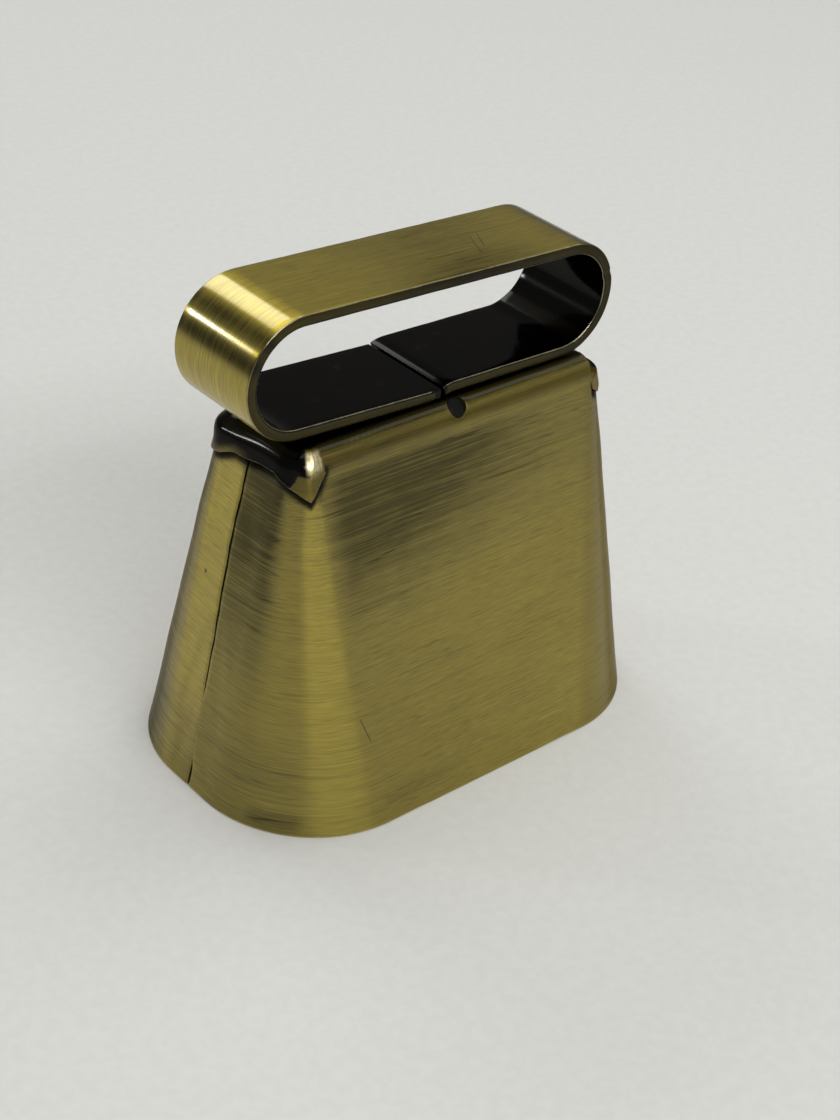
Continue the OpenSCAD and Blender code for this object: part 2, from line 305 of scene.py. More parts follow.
def add_wire(shell, path, across, radius, worn, dome=None):
    """A round wire along a flat path: each row is a circle of the given radius, in the plane of
    the side vector and across. With a dome its ends are open: their rows step on along the path
    by the sine of an angle and shrink by its cosine. Without one it closes on itself."""
    closed = dome is None
    radius = np.broadcast_to(np.asarray(radius, float), len(path))
    across = np.asarray(across, float)
    if closed:
        around = np.concatenate([path[-1:], path, path[:1]])
        step = around[2:] - around[:-2]
    else:
        step = np.gradient(path, axis=0)
    ahead = step / np.linalg.norm(step, axis=1, keepdims=True)
    side = np.cross(np.broadcast_to(across, ahead.shape), ahead)
    if not closed:
        turn = np.radians([90, 72, 54, 36, 18])
        rows = len(turn)
        head = path[0] - ahead[0] * (dome * radius[0] * np.sin(turn))[:, None]
        tail = path[-1] + ahead[-1] * (dome * radius[-1] * np.sin(turn[::-1]))[:, None]
        path = np.concatenate([head, path, tail])
        side = np.pad(side, ((rows, rows), (0, 0)), "edge")
        rim = 1 - (1 - np.cos(turn)) * np.array([1, 0.6, 0.5, 0.5, 0.5])
        radius = np.concatenate([radius[0] * rim, radius, radius[-1] * rim[::-1]])
        worn = np.pad(worn, rows)
    a = ring_angles(WIRE_SIDES)[:, None]
    grid = path[:, None] + radius[:, None, None] * (np.cos(a) * side[:, None] + np.sin(a) * across)
    along = path_length(np.concatenate([path, path[:1]]) if closed else path)
    shell.add(grid, along, once_round(WIRE_SIDES, radius.max()), {"worn": worn[:, None]}, closed)


def add_turned(shell, profile, sides, worn, lift=0, bump=0, closed=False):
    """A turned shape: each point (radius, height) of the profile goes round the Z axis, lifted.
    bump (rows, sides) is added to the radius. A closed profile's end joins its start."""
    profile = np.asarray(profile, float)
    a = ring_angles(sides)
    radius = profile[:, :1] + bump
    grid = np.stack(np.broadcast_arrays(radius * np.cos(a), radius * np.sin(a), lift + profile[:, 1:]), -1)
    along = path_length(profile)
    along = np.append(along, along[-1]) if closed else along
    shell.add(grid, along, once_round(sides, profile[:, 0].max()), {"worn": worn}, closed)


def finish_piece(piece, body, slot, *nodes):
    """Hangs a new piece on the body that it rides on and hides the CAD nodes that it stands for. The slot
    argument is not used.
    """
    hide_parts(*nodes)
    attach(piece, body)


# Shape of the body

EDGE_ROUND = 0.16 * MM
HOLE_SQUARE = 0.8 * MM
HOLE_BLOCK = 2.4 * MM
# the first of the ledge's rows that belongs to the tab
TAB_ROW = 4
# marks that the sheet's material reads as point values
SHEET_MARKS = ("black", "inside", "gap", "edge", "shade", "gold_shade", "bare", "matte", "cut")


class BodyForm:
    """The body as a function of two parameters.

    A station goes once round the level section, which is a rounded rectangle that changes
    evenly with height. The other parameter is the distance up the wall, over the fold and
    across the top plate, with 0 at the 45 degree point of the fold.
    """

    def __init__(self, s):
        self.s = s
        self.fold_flat = self.half_long(s.height - s.fold) - self.corner(s.height - s.fold)
        self.fx, self.fy, self.a = self.stations()
        fx, a, h = self.fx, self.a, s.height
        self.broad = np.abs(fx) < 1 - TINY
        self.thin = np.abs(self.fy) < 1 - TINY
        self.front, self.left = self.fy < -1 + TINY, fx < 0
        self.at_hole = np.abs(fx * self.fold_flat) <= HOLE_SQUARE * 1.001
        self.cos, self.sin = np.abs(np.cos(a)), np.abs(np.sin(a))
        self.deg = np.degrees(np.arcsin(np.clip(self.sin, 0, 1)))
        slope = (s.top_corner - s.mouth_corner) / h
        self.lean = np.arctan(-(self.cos * ((s.top_long - s.mouth_long) / 2 / h - slope)
                                + self.sin * ((s.top_wide - s.mouth_wide) / 2 / h - slope) + slope))
        short = ~self.left & self.front & (self.deg > 80.4)
        self.tab = ((np.abs(fx) >= s.ear_share - 1e-6) & ~short).astype(float)
        self.ear_fade = np.where(self.broad, ramp(np.abs(fx), 0.972, 0.994), 1)
        self.low = h - self.tab_line()

    def half_long(self, z):
        return mix(self.s.mouth_long, self.s.top_long, z / self.s.height) / 2

    def half_wide(self, z):
        return mix(self.s.mouth_wide, self.s.top_wide, z / self.s.height) / 2

    def corner(self, z):
        return mix(self.s.mouth_corner, self.s.top_corner, z / self.s.height)

    def stations(self):
        """Stations once round: shares of the flats and the direction faced. They lie closest at
        the holes, the ears and the seams."""
        ear, square, block = self.s.ear_share, HOLE_SQUARE / self.fold_flat, HOLE_BLOCK / self.fold_flat
        half = np.concatenate([np.linspace(0, square, 5), np.linspace(square, block, 7)[1:],
                               np.linspace(block, 0.93, 20)[1:],
                               [0.946, 0.957, ear - 0.0015, ear, 0.976, 0.988]])
        broad = np.concatenate([-half[::-1], half[1:]])
        thin = np.array([0.045, 0.065, 0.1, 0.16, 0.24, 0.34, 0.46, 0.6, 0.75, 0.88])
        thin = np.concatenate([-thin[::-1], thin])
        bend = np.radians(np.sort(np.append(np.linspace(0, 90, 31), [80.8, 9.2])))
        parts = []
        for k, (flat, corner) in enumerate((((broad, -1), (1, -1)), ((1, thin), (1, 1)),
                                            ((-broad, 1), (-1, 1)), ((-1, -thin), (-1, -1)))):
            facing = (k - 1) * math.pi / 2
            for place in ((*flat, facing), (*corner, facing + bend)):
                parts.append(np.stack(np.broadcast_arrays(*place), 1))
        return np.hsplit(np.concatenate(parts), 3)

    def tab_line(self):
        """How far each station's tab hangs down. The left tab levels off low towards the back
        and comes to a point at its front ear; the right one stops short at the front."""
        s, deg = self.s, self.deg
        middle, tip, ear = s.tab_drop / MM, s.tip_drop / MM, s.ear_drop / MM
        left_front = np.interp(deg, [0, 20, 45, 66, 72, 79, 85, 90],
                               [middle, 2.56, 3.15, tip, 3.5, 2.95, 2.55, 2.3])
        left_back = np.interp(deg, [0, 30, 60, 79, 90], [3.55, 4, 4.3, 4.1, ear])
        right_front = np.interp(deg, [0, 60, 80, 90], [middle, 3.5, 2.8, 2.8])
        right_back = np.interp(deg, [0, 79, 90], [middle, tip, 1.9])
        drop = np.where(self.left, np.where(self.front, left_front, left_back),
                        np.where(self.front, right_front, right_back))
        level = middle + np.interp(self.fy, [-1, -0.45, 0, 0.5, 0.75, 1], [0, 0.1, 0.42, 0.55, 1.0, 1.45])
        drop = np.where(self.thin, np.where(self.left, level, middle), drop)
        to_end = (np.abs(self.fx) - s.ear_share) / (1 - s.ear_share)
        drop = np.where(self.broad, np.where(self.left & self.front, mix(1.9, 2.3, to_end), ear), drop)
        return np.where(self.tab < 1, middle, drop) * MM

    def fold(self, skin):
        """Fold radius, top and start of the fold for the outer skin or the lining."""
        s = self.s
        if skin == "outer":
            r, top = mix(s.fold, s.tab_bend, self.cos), s.height
        else:
            r, top = np.full_like(self.cos, s.fold_inside), s.height - s.sheet
        return r, top, top - r + r * np.sin(self.lean)

    def up_wall(self, z, skin):
        """The distance parameter of height z on the wall."""
        r, _, start = self.fold(skin)
        return -r * (math.pi / 4 - self.lean) + (z - start) / np.cos(self.lean)

    def height(self, v, skin, walked=False):
        """Height of the wall at distance v. Above the fold's start the wall is thought to go on,
        or, if walked, the distance over the fold and the plate is added."""
        r, _, start = self.fold(skin)
        past = v + r * (math.pi / 4 - self.lean)
        return start + np.where(walked & (past > 0), past, past * np.cos(self.lean))

    def tucked(self, z):
        """How far the flap is pressed in at height z."""
        s = self.s
        return self.tab * s.tuck * self.cos ** 2 * ramp(z, self.low - s.tuck_height, self.low)

    def reach(self, skin):
        """Distance from the fold's inner line to the middle line of the top plate."""
        r, _, start = self.fold(skin)
        return self.half_wide(start) - r * np.cos(self.lean) - (0 if skin == "outer" else self.s.sheet)

    def point(self, v, off, skin, fx=None, shift_y=0):
        """Points of a skin at the distances v, moved out by off."""
        fx = self.fx if fx is None else fx
        r, top, start = self.fold(skin)
        bottom, end = -r * (math.pi / 4 - self.lean), r * math.pi / 4
        z_wall = start + (v - bottom) * np.cos(self.lean)
        turn = np.clip(self.lean + (v - bottom) / r, self.lean, math.pi / 2)
        wall = v <= bottom
        z = np.where(wall, z_wall, top - r + r * np.sin(turn))
        ref = np.where(wall, z_wall, start)
        out = np.where(wall, 0, r * (np.cos(turn) - np.cos(self.lean))) + off
        rad = self.corner(ref)
        x = fx * (self.half_long(ref) - rad) + (rad + out) * np.cos(self.a)
        y = self.fy * (self.half_wide(ref) - rad) + (rad + out) * np.sin(self.a) + shift_y
        t = np.clip((v - end) / self.reach(skin), 0, 1)
        hub = self.half_long(start) - self.half_wide(start)
        return np.stack(np.broadcast_arrays(mix(x, fx * hub, t), mix(y, 0, t), z), -1)


def seam_line(z, side):
    """Sideways place of one edge of a seam at height z: a slit that wanders a little, tapers at
    its closed end and pinches to a hair line where it is brazed. In millimetres."""
    s = settings().body
    closed_from, closed_to = s.seam_closed_from / MM, s.seam_closed_to / MM
    wander = waves(z, (0.05, 21, 1.0), (0.03, 6.1, 2.0))
    rough = waves(z, (0.028, 3.3, 0.4 + side), (0.018, 1.37, 2 * side))
    is_open = np.maximum(ramp(z, closed_to, closed_to + 1.2) * mix(0.6, 1, ramp(z, 11, 19)),
                         ramp(z, closed_from, closed_from - 0.8))
    half = mix(0.012, s.seam_gap / MM / 2 * 0.95, is_open)
    return wander * 0.6 + side * (half + rough * is_open)


def open_hole(u, v):
    """Bends grid lines round a round hole: the square of half side HOLE_SQUARE becomes the
    circle, and the change fades out at HOLE_BLOCK."""
    radius = settings().body.hole / 2
    size = np.maximum(np.abs(u), np.abs(v))
    w = np.clip((HOLE_BLOCK - size) / (HOLE_BLOCK - HOLE_SQUARE), 0, 1)
    k = mix(1, size * radius / HOLE_SQUARE / np.maximum(np.hypot(u, v), TINY), w)
    return u * k, v * k


def body_rows(form, skin):
    """Distance parameter (stations, rows) of each row of a skin, and marks of the rows.

    From the rim up: the rounded rim edge, the wall, the ledge of the tab, the fold and the top
    plate. Towards the middle of a broad face the upper rows close up round the hole instead.
    """
    s = form.s
    r, _, start = form.fold(skin)
    one = np.ones_like(form.a)
    turn = np.radians([0, 25, 50, 75, 90])
    closed_from, closed_to, wall_to = s.seam_closed_from, s.seam_closed_to, 26 * MM
    wall_z = np.concatenate([np.linspace(0.35 * MM, closed_from, 7),
                             np.linspace(closed_from, closed_to, 11)[1:],
                             np.linspace(closed_to, wall_to, 20)[1:]])
    ledge_from = form.low - 0.6 * MM
    lead = mix(wall_to, ledge_from, np.linspace(0, 1, 9)[1:])
    plain = np.linspace(-0.35, 0.2, 9) * MM
    if skin == "outer":
        step = np.array([-0.35, -0.16, -0.05, 0.13, 0.1, 0.0, 0.02, 0.09, 0.2]) * MM
        lips = np.array([0, 0, -0.03, -0.3, -0.34, -0.1, -0.02, 0, 0]) * MM
        proud = np.arange(9) >= TAB_ROW
        ledge_z = form.low + mix(plain, step, form.tab)
        ledge_off = form.tab * ((lips + proud * s.lip) * form.ear_fade - ~proud * form.tucked(form.low))
    else:
        ledge_z = np.minimum(form.low + plain, mix(ledge_from, start, np.linspace(0.1, 0.8, 9)))
        ledge_off = np.zeros_like(ledge_z)
    above = mix(ledge_z[:, -1:], start, np.array([0.12, 0.26, 0.4, 0.55, 0.7, 0.85, 1.0]))
    z = np.concatenate([EDGE_ROUND * (1 - np.cos(turn)) * one, wall_z * one, lead, ledge_z, above], axis=1)
    fold_end, reach = r * math.pi / 4, form.reach(skin)
    arc = mix(-r * (math.pi / 4 - form.lean), fold_end, np.linspace(0, 1, 15)[1:])
    plate = fold_end + reach * np.array([0.06, 0.13, 0.2, 0.28, 0.37, 0.46, 0.56, 0.66, 0.77, 0.88, 1.0])
    v = np.concatenate([form.up_wall(z, skin), arc, plate], axis=1)
    # rows that close up round the hole
    n_lead = lead.shape[1]
    block = len(turn) + len(wall_z) + n_lead
    below = np.linspace(-HOLE_BLOCK, -HOLE_SQUARE, 8)[:-1]
    square = np.linspace(-HOLE_SQUARE, HOLE_SQUARE, 9)
    fixed = np.concatenate([below, square, np.linspace(HOLE_SQUARE, HOLE_BLOCK, 7)[1:]])
    rest = v.shape[1] - block - len(fixed)
    closed_up = np.concatenate([
        mix(v[:, [block - n_lead - 1]], -HOLE_BLOCK, np.linspace(0, 1, n_lead + 2)[1:-1]),
        fixed * one, mix(HOLE_BLOCK, fold_end + reach, np.linspace(0, 1, rest + 1)[1:])], axis=1)
    near = form.broad * ramp(np.abs(form.fx), 0.85, 0.45)
    v[:, block - n_lead:] = mix(v[:, block - n_lead:], closed_up, near)
    first = block + len(below)
    return v, {"rim_off": EDGE_ROUND * (np.sin(turn) - 1), "ledge_off": ledge_off, "block": block,
               "square": (first, first + len(square) - 1), "closed": (len(turn) + 6, len(turn) + 16)}


def body_skin(form, skin):
    """Points (stations, rows, 3), distances, heights, row marks and hole edges of the outer skin
    or the lining."""
    s = form.s
    outer = skin == "outer"
    v, rows = body_rows(form, skin)
    z = np.minimum(form.height(v, skin), s.height)
    off = np.zeros_like(v) if outer else np.full_like(v, -s.sheet)
    block, rim_rows = rows["block"], len(rows["rim_off"])
    if outer:
        ledge_end = block + rows["ledge_off"].shape[1]
        off[:, :block] -= form.tucked(z[:, :block])
        off[:, block:ledge_end] += rows["ledge_off"]
        fade = np.clip((s.height - z[:, ledge_end:]) / (s.height - form.low), 0, 1)
        off[:, ledge_end:] += form.tab * s.lip * fade * form.ear_fade
        off[:, :rim_rows] += rows["rim_off"]
    else:
        off -= form.tucked(np.minimum(z, form.low))
        off[:, :rim_rows] -= rows["rim_off"] * 0.6
    # a hand-formed sheet is never quite flat
    zm = z / MM
    around = np.arctan2(form.fy * form.half_wide(0), form.fx * form.half_long(0))
    dent = 0.035 + waves(zm + 9 * np.cos(3 * around), (0.02, 17, 0.5), (0.012, 7.3, 2.1))
    off -= MM * dent * ramp(zm, 0, 3) * ramp(zm, 30, 26)
    # hole
    u = form.fx * form.fold_flat
    bend_u, bend_v = open_hole(np.broadcast_to(u, v[:, block:].shape), v[:, block:])
    fx = np.broadcast_to(form.fx, v.shape).copy()
    fx[:, block:] = np.where(form.broad, bend_u / form.fold_flat, fx[:, block:])
    v[:, block:] = np.where(form.broad, bend_v, v[:, block:])
    ring = np.zeros_like(v)
    ring[:, rows["square"][0]:rows["square"][1] + 1] = form.at_hole
    # seam: the two flaps meet at a slight ridge, and are eased down along their edges
    flat = form.half_wide(z) - form.corner(z)
    aside, edge, side = np.abs(form.fy * flat), 0.045 * flat, np.sign(form.fy)
    on_flap = form.thin * ramp(zm, 31.4, 30.9)
    shift = (seam_line(zm, side) * MM - side * edge) * bell_curve(aside, edge, 0.8 * MM) * on_flap
    if not outer:
        return form.point(v, off, skin, fx, shift), v, z, rows, ring
    off += 0.065 * (flat - aside) * on_flap * ramp(zm, 1, 10) * form.left
    closed_from, closed_to = s.seam_closed_from / MM, s.seam_closed_to / MM
    is_open = np.maximum(ramp(zm, closed_to, closed_to + 1), ramp(zm, closed_from, closed_from - 0.6))
    off -= MM * (0.07 * ring + bell_curve(aside, edge, 0.1 * MM) * on_flap * mix(0.012, 0.06, is_open))
    # the corners of the tabs are beaten and crushed, and the left front ear stands out
    vm = v / MM
    x, y, _ = np.moveaxis(form.point(v, off, skin, fx, shift), -1, 0) / MM
    beaten = form.tab * ramp(y, -3, 5.5) * ramp(-x, 12.5, 15.5)
    crushed = form.tab * ramp(x, 13, 15.5) * mix(0.6, 1, ramp(-y, 1, 4))
    droop = (0.5 * beaten * ramp(zm, 31.6, 33.4) * np.interp(vm, [1.3, 2.9], [1, 0])
             + 1.15 * crushed * ramp(zm, 31.7, 33.6) * np.interp(vm, [0.5, 2.9], [1, 0]))
    tab_rows = np.arange(v.shape[1]) >= block + TAB_ROW
    on_ear = form.left * form.front * form.tab * hump(form.deg, 66, 36) * tab_rows
    off += MM * (0.22 * beaten * hump(zm, 32.1, 1.7)
                 + on_ear * (0.12 + 0.3 * hump(zm - form.low / MM, 2.0, 2.1)))
    points = form.point(v, off, skin, fx, shift)
    points[..., 2] -= droop * MM
    # small chips in the rim
    a = np.arctan2(points[:, :1, 1], points[:, :1, 0])
    chip = np.clip(np.sin(5 * a) + 0.7 * np.sin(11 * a + 1) + 0.5 * np.sin(23 * a), 0, 2)
    points[:, :rim_rows, 2] = np.maximum(points[:, :rim_rows, 2] + 0.03 * MM * chip, 0)
    return points, v, z, rows, ring


def body_finish(form, points, v, z, rows, ring):
    """Where the outer skin is black, worn at an edge, painted dark as the shadow of a gap, dark with
    patina and painted shade, painted a deep gold as shade, rubbed bare or matte. All lengths here are in
    millimetres."""
    x, y, v, z = points[..., 0] / MM, points[..., 1] / MM, v / MM, z / MM
    first = rows["block"]
    tab_rows = np.arange(v.shape[1]) >= first + TAB_ROW
    on_tab = form.tab * tab_rows
    one = np.ones_like(v)
    deg, left, front, face = form.deg * one, form.left * one, form.front * one, form.sin ** 2 * one
    left_front, right_front = left * front, (1 - left) * front
    hang = z - form.low / MM
    # the beaten facet and the bright bulge of the left front ear
    facet_top = np.minimum(2.1 * ramp(deg, 32, 58), 32.05 - form.low / MM)
    facet = ramp(facet_top - hang, -0.11, 0.11) * (deg > 33)
    ear = np.where(left > 0, np.where(front > 0, np.maximum(facet, ramp(deg, 64, 72)), ramp(deg, 70, 82)),
                   ramp(deg, 34, 48))
    olive_lip = 0.45 * left * ramp(hang, 0.9, 0) * ramp(y, -1, 3)
    plate = 0.86 * ramp(v, -0.3, 0.3) + 0.14 * ramp(v, 0.75, 1.15)
    shoulder = on_tab * ear * left_front * ramp(v, 1, 0.5)
    black = np.clip(np.maximum(on_tab * (1 - ear) * (1 - olive_lip), plate * (1 - 0.85 * shoulder)), 0, 1)
    edge = np.zeros_like(v)
    edge[:, :7] = [0.9, 0.9, 0.9, 0.9, 0.6, 0.3, 0.12]
    edge[:, first + 5:first + 8] = form.tab * [0.5, 0.72, 0.4]
    edge = np.maximum(edge, 0.35 * ring)
    # painted shadow: the ear's small shadow beside and below it, the step under each tab's lip and the
    # wall just under the tabs are painted dark; the ear's shoulder is rubbed bare
    corner_x = (form.half_long(30 * MM) - form.corner(30 * MM)) / MM
    past = np.radians(deg - 66) * 2.4 + np.where(form.broad, x + corner_x, 0)
    past_ear = past - np.interp(z, [29.9, 30.5, 31.05, 31.45, 31.7, 32.1], [0, 0.25, 0.55, 0.8, 0.95, 1.1])
    beside_ear_shadow = (ramp(past_ear, 0.95, 0.45) * ramp(past_ear, -0.6, -0.4)
                  * ramp(z, 29.4, 30.1) * ramp(z, 32.7, 32.3) * left_front * (on_tab < 0.5))
    under_tab_shadow = ramp(hang, -1.1, -0.5) * ~tab_rows * form.tab * (1 - form.broad)
    gap = np.zeros_like(v)
    gap[:, first + 1:first + 5] = form.tab * [0.6, 0.9, 1, 1]
    gap = most(gap, 0.88 * beside_ear_shadow, 0.985 * under_tab_shadow)
    bare = on_tab * left_front * ramp(deg, 60, 70) * hump(v, -0.4, 1.2) * ramp(past, 1.2, 0.8)
    # patina and painted shade: patina most of all high on the front and beside the seam, least on the
    # corners; painted shade and light where noted below
    # painted shade: a band under the fold that reflects dark surroundings
    under_fold_shade = hump(v, -0.95, 1.1)
    cloud = (ramp(z - 0.22 * (x + 15), 14.5, 26.5) * ramp(x, -15.4, -12)
             * (1 - 0.8 * ramp(x, -4, 14)) * ramp(z, 31.9, 30.7))
    # painted light and shade on the front: darker towards the left and lighter low on the right, as the
    # light falls; patina darkens it towards the top
    broad = (0.09 + 0.6 * cloud + 0.2 * under_fold_shade + 0.15 * ramp(x, 6, -16) + 0.2 * ramp(z, 16, 32)
             - 0.09 * ramp(z, 12, 4) * ramp(x, 2, 12))
    beside = (x * y > 0) * ramp(deg, 36, 12)
    # beside the seam partly patina and partly painted shade; painted shade just under the tabs and on the
    # back corners, which reflect dark surroundings
    narrow = (0.06 + beside * (0.66 * ramp(z, 3, 23) + 0.3 * ramp(z, 20, 28))
              + 0.25 * hump(z, 31.5, 2.5) + 0.32 * ramp(z, 11, 5) + 0.45 * right_front * hump(deg, 40, 40)
              + 0.95 * hump(deg, 34, 28) * (1 - front) * (1 - form.thin))
    a = np.arctan2(y, x)
    rim = hump(z, 2.2, 2.4) * (0.5 + 0.5 * np.sin(3.1 * a + 2)) ** 2
    stain = hump(z, 1.2, 2.6) * ramp(np.sin(9 * a + 1), 0, 1 / 1.2) * (deg < 60) * ramp(-x, 14, 17)
    shade = np.clip(most(mix(narrow, broad, face), 0.4 * rim, 0.6 * stain), 0, 1)
    on_facet = on_tab * ear * left_front * (1 - bare)
    shade = np.where(on_tab * ear > 0.5, 0.2 + 0.25 * on_facet, shade)
    # painted shade in deep gold: under the fold, on the ear's facet and along the right front edge
    from_corner = x - (form.half_long(z * MM) - form.corner(z * MM)) / MM
    right_edge_shade = right_front * (1 - on_tab) * ramp(from_corner, -0.8, 0.6)
    gold_shade = most(under_fold_shade * face * (1 - on_tab), 0.8 * on_facet, 0.35 * right_edge_shade,
                0.6 * on_tab * ear * right_front)
    matte = np.where(left > 0.5, (1 - front) * ramp(deg, 8, 28) * ramp(deg, 84, 60),
                     np.where(front > 0.5, ramp(deg, 78, 60), ramp(deg, 30, 5)))
    return {"black": black, "edge": edge, "gap": gap, "shade": shade, "gold_shade": gold_shade, "bare": bare,
            "matte": matte}


def build_body(material):
    """The whole sheet: an outer skin and a lining of the same grid, joined round the rim and
    round every cell that is left out for the slits and the holes."""
    form = BodyForm(settings().body)
    outer, v_out, z_out, rows, ring = body_skin(form, "outer")
    inner, v_in, *_ = body_skin(form, "inner")
    n_col, n_row = v_out.shape
    nxt = np.roll(np.arange(n_col), -1)
    # cells that are left out: the open stretches of the seams, and the holes
    gone = np.zeros((n_col, n_row - 1), bool)
    seam = (form.thin & form.thin[nxt] & (np.sign(form.fy) != np.sign(form.fy[nxt])))[:, 0]
    closed_from, closed_to = rows["closed"]
    gone[seam, :closed_from] = True
    gone[seam, closed_to:rows["block"] + 2] = True
    gone[(form.at_hole & form.at_hole[nxt])[:, 0], slice(*rows["square"])] = True
    # map: distance round the section at half height, cut at the left seam, and distance up
    middle = form.point(form.up_wall(np.full_like(form.a, form.s.height / 2), "outer"),
                        np.zeros_like(form.a), "outer")[:, 0]
    round_it = path_length(np.concatenate([middle, middle[:1]]))
    cut = np.nonzero(seam & form.left[:, 0])[0][0]
    rise = [form.height(v_out, "outer", walked=True), form.height(v_in, "inner", walked=True)]
    ids = np.arange(2 * n_col * n_row).reshape(2, n_col, n_row)
    quads, corner_map = [], []

    def corners(c, r):
        """Places of a cell's four corners."""
        return np.stack([c, c + 1, c + 1, c], 1), np.stack([r, r, r + 1, r + 1], 1)

    def add(skin, c, r, points):
        around = round_it[c] - round_it[-1] * (c[:, :1] > cut)
        quads.append(points)
        corner_map.append(np.stack([around, rise[skin][c % n_col, r]], -1) / MM)

    c, r = corners(*np.nonzero(~gone))
    add(0, c, r, ids[0, c % n_col, r])
    add(1, c[:, ::-1], r[:, ::-1], ids[1, c % n_col, r][:, ::-1])
    below, above = np.ones_like(gone), np.zeros_like(gone)
    below[:, 1:], above[:, :-1] = gone[:, :-1], gone[:, 1:]
    before = gone[np.roll(np.arange(n_col), 1)]
    for open_side, (p, q) in ((below, (0, 1)), (gone[nxt], (1, 2)), (above, (2, 3)), (before, (3, 0))):
        c, r = corners(*np.nonzero(~gone & open_side))
        a, b = ids[:, c % n_col, r]
        add(0, c[:, [q, p, p, q]], r[:, [q, p, p, q]], np.stack([a[:, q], a[:, p], b[:, p], b[:, q]], 1))
    zero = np.zeros_like(v_out)
    values = {**dict.fromkeys(SHEET_MARKS, zero), **body_finish(form, outer, v_out, z_out, rows, ring)}
    values = {key: np.concatenate([value, zero]) for key, value in values.items()}
    values["inside"] = np.repeat([0, 0.9], zero.size)
    return make_piece("bell_body", np.concatenate([outer.reshape(-1, 3), inner.reshape(-1, 3)]),
                      np.concatenate(quads), np.concatenate(corner_map), values, material, sharp=42)


# Shape of the strap

def run_ends():
    """Places along the bell where the strap's two runs end, and where the right one levels."""
    s = settings().strap
    curl = (s.curl + s.thickness / 2) * math.sin(s.curl_angle)
    return s.butt - s.butt_gap / 2, s.butt + s.butt_gap / 2 + curl


def strap_path():
    """Middle line of the strip in the XZ plane: the left run, a left arc, the straight top, a
    right arc, the right run and a small curl, joined where they touch. Also the heading."""
    s, top = settings().strap, settings().body.height
    r_left, r_right = s.left_bend - s.thickness / 2, s.right_bend - s.thickness / 2
    left = np.array([s.shift - s.span / 2, top + s.left_gap + s.left_bend])
    right = np.array([s.shift + s.span / 2, top + s.right_gap + s.right_bend])
    low = top + s.run_gap + s.thickness / 2
    left_end, right_end = (np.array([x, z]) for x, z in zip(run_ends(), (low, low + s.butt_step)))

    def bearing(p, q):
        return math.atan2(q[1] - p[1], q[0] - p[0])

    def touching(p, c, r, side):
        return bearing(p, c) + side * math.asin(r / np.linalg.norm(c - p))

    run_left = touching(left_end, left, r_left, 1)
    run_right = touching(right_end, right, r_right, -1) - math.pi
    run_top = bearing(left, right) + math.asin((r_right - r_left) / np.linalg.norm(right - left))

    def bend(c, r, start, stop):
        h = np.linspace(start, stop, 56)
        return np.stack([c[0] - r * np.sin(h), c[1] + r * np.cos(h), h], 1)

    def straight(p, q, h, count):
        t = np.linspace(0, 1, count)[1:-1, None]
        return np.concatenate([mix(p[None, :2], q[None, :2], t), np.full((count - 2, 1), h)], 1)

    first, second = bend(left, r_left, run_left, run_top), bend(right, r_right, run_top, run_right)
    curl_h = run_right + s.curl_angle * np.linspace(0, 1, 7)[1:]
    curl = np.stack([right_end[0] + s.curl * (np.sin(curl_h) - math.sin(run_right)),
                     right_end[1] - s.curl * (np.cos(curl_h) - math.cos(run_right)), curl_h], 1)
    return np.concatenate([
        [[*left_end, run_left]], straight(left_end, first[0], run_left, 26), first,
        straight(first[-1], second[0], run_top, 44), second,
        straight(second[-1], right_end, run_right, 26), [[*right_end, run_right]], curl])


def strip_section(width, thick):
    """A rounded rectangle, as (out, across, edge mark, inner-side mark) once round. The outer
    side comes first."""
    edge, steps = 0.17 * MM, 7
    flat = np.linspace(-1, 1, 15)[1:-1]
    w, t = width / 2 - edge, thick / 2 - edge
    mark = 1 - np.abs(np.linspace(-1, 1, steps))
    rows = []

    def corner(side_out, side_across, start):
        a = math.radians(start) + np.radians(np.linspace(0, 90, steps))
        rows.append(np.stack([side_out * t + edge * np.cos(a), side_across * w + edge * np.sin(a),
                              mark, np.full(steps, float(side_out < 0))], 1))

    def side(out, along, inner):
        rows.append(np.stack(np.broadcast_arrays(out, along * w, 0.0, inner), 1))

    side(thick / 2, flat, 0.0)
    corner(1, 1, 0)
    corner(-1, 1, 90)
    side(-thick / 2, -flat, 1.0)
    corner(-1, -1, 180)
    corner(1, -1, 270)
    return np.concatenate(rows)


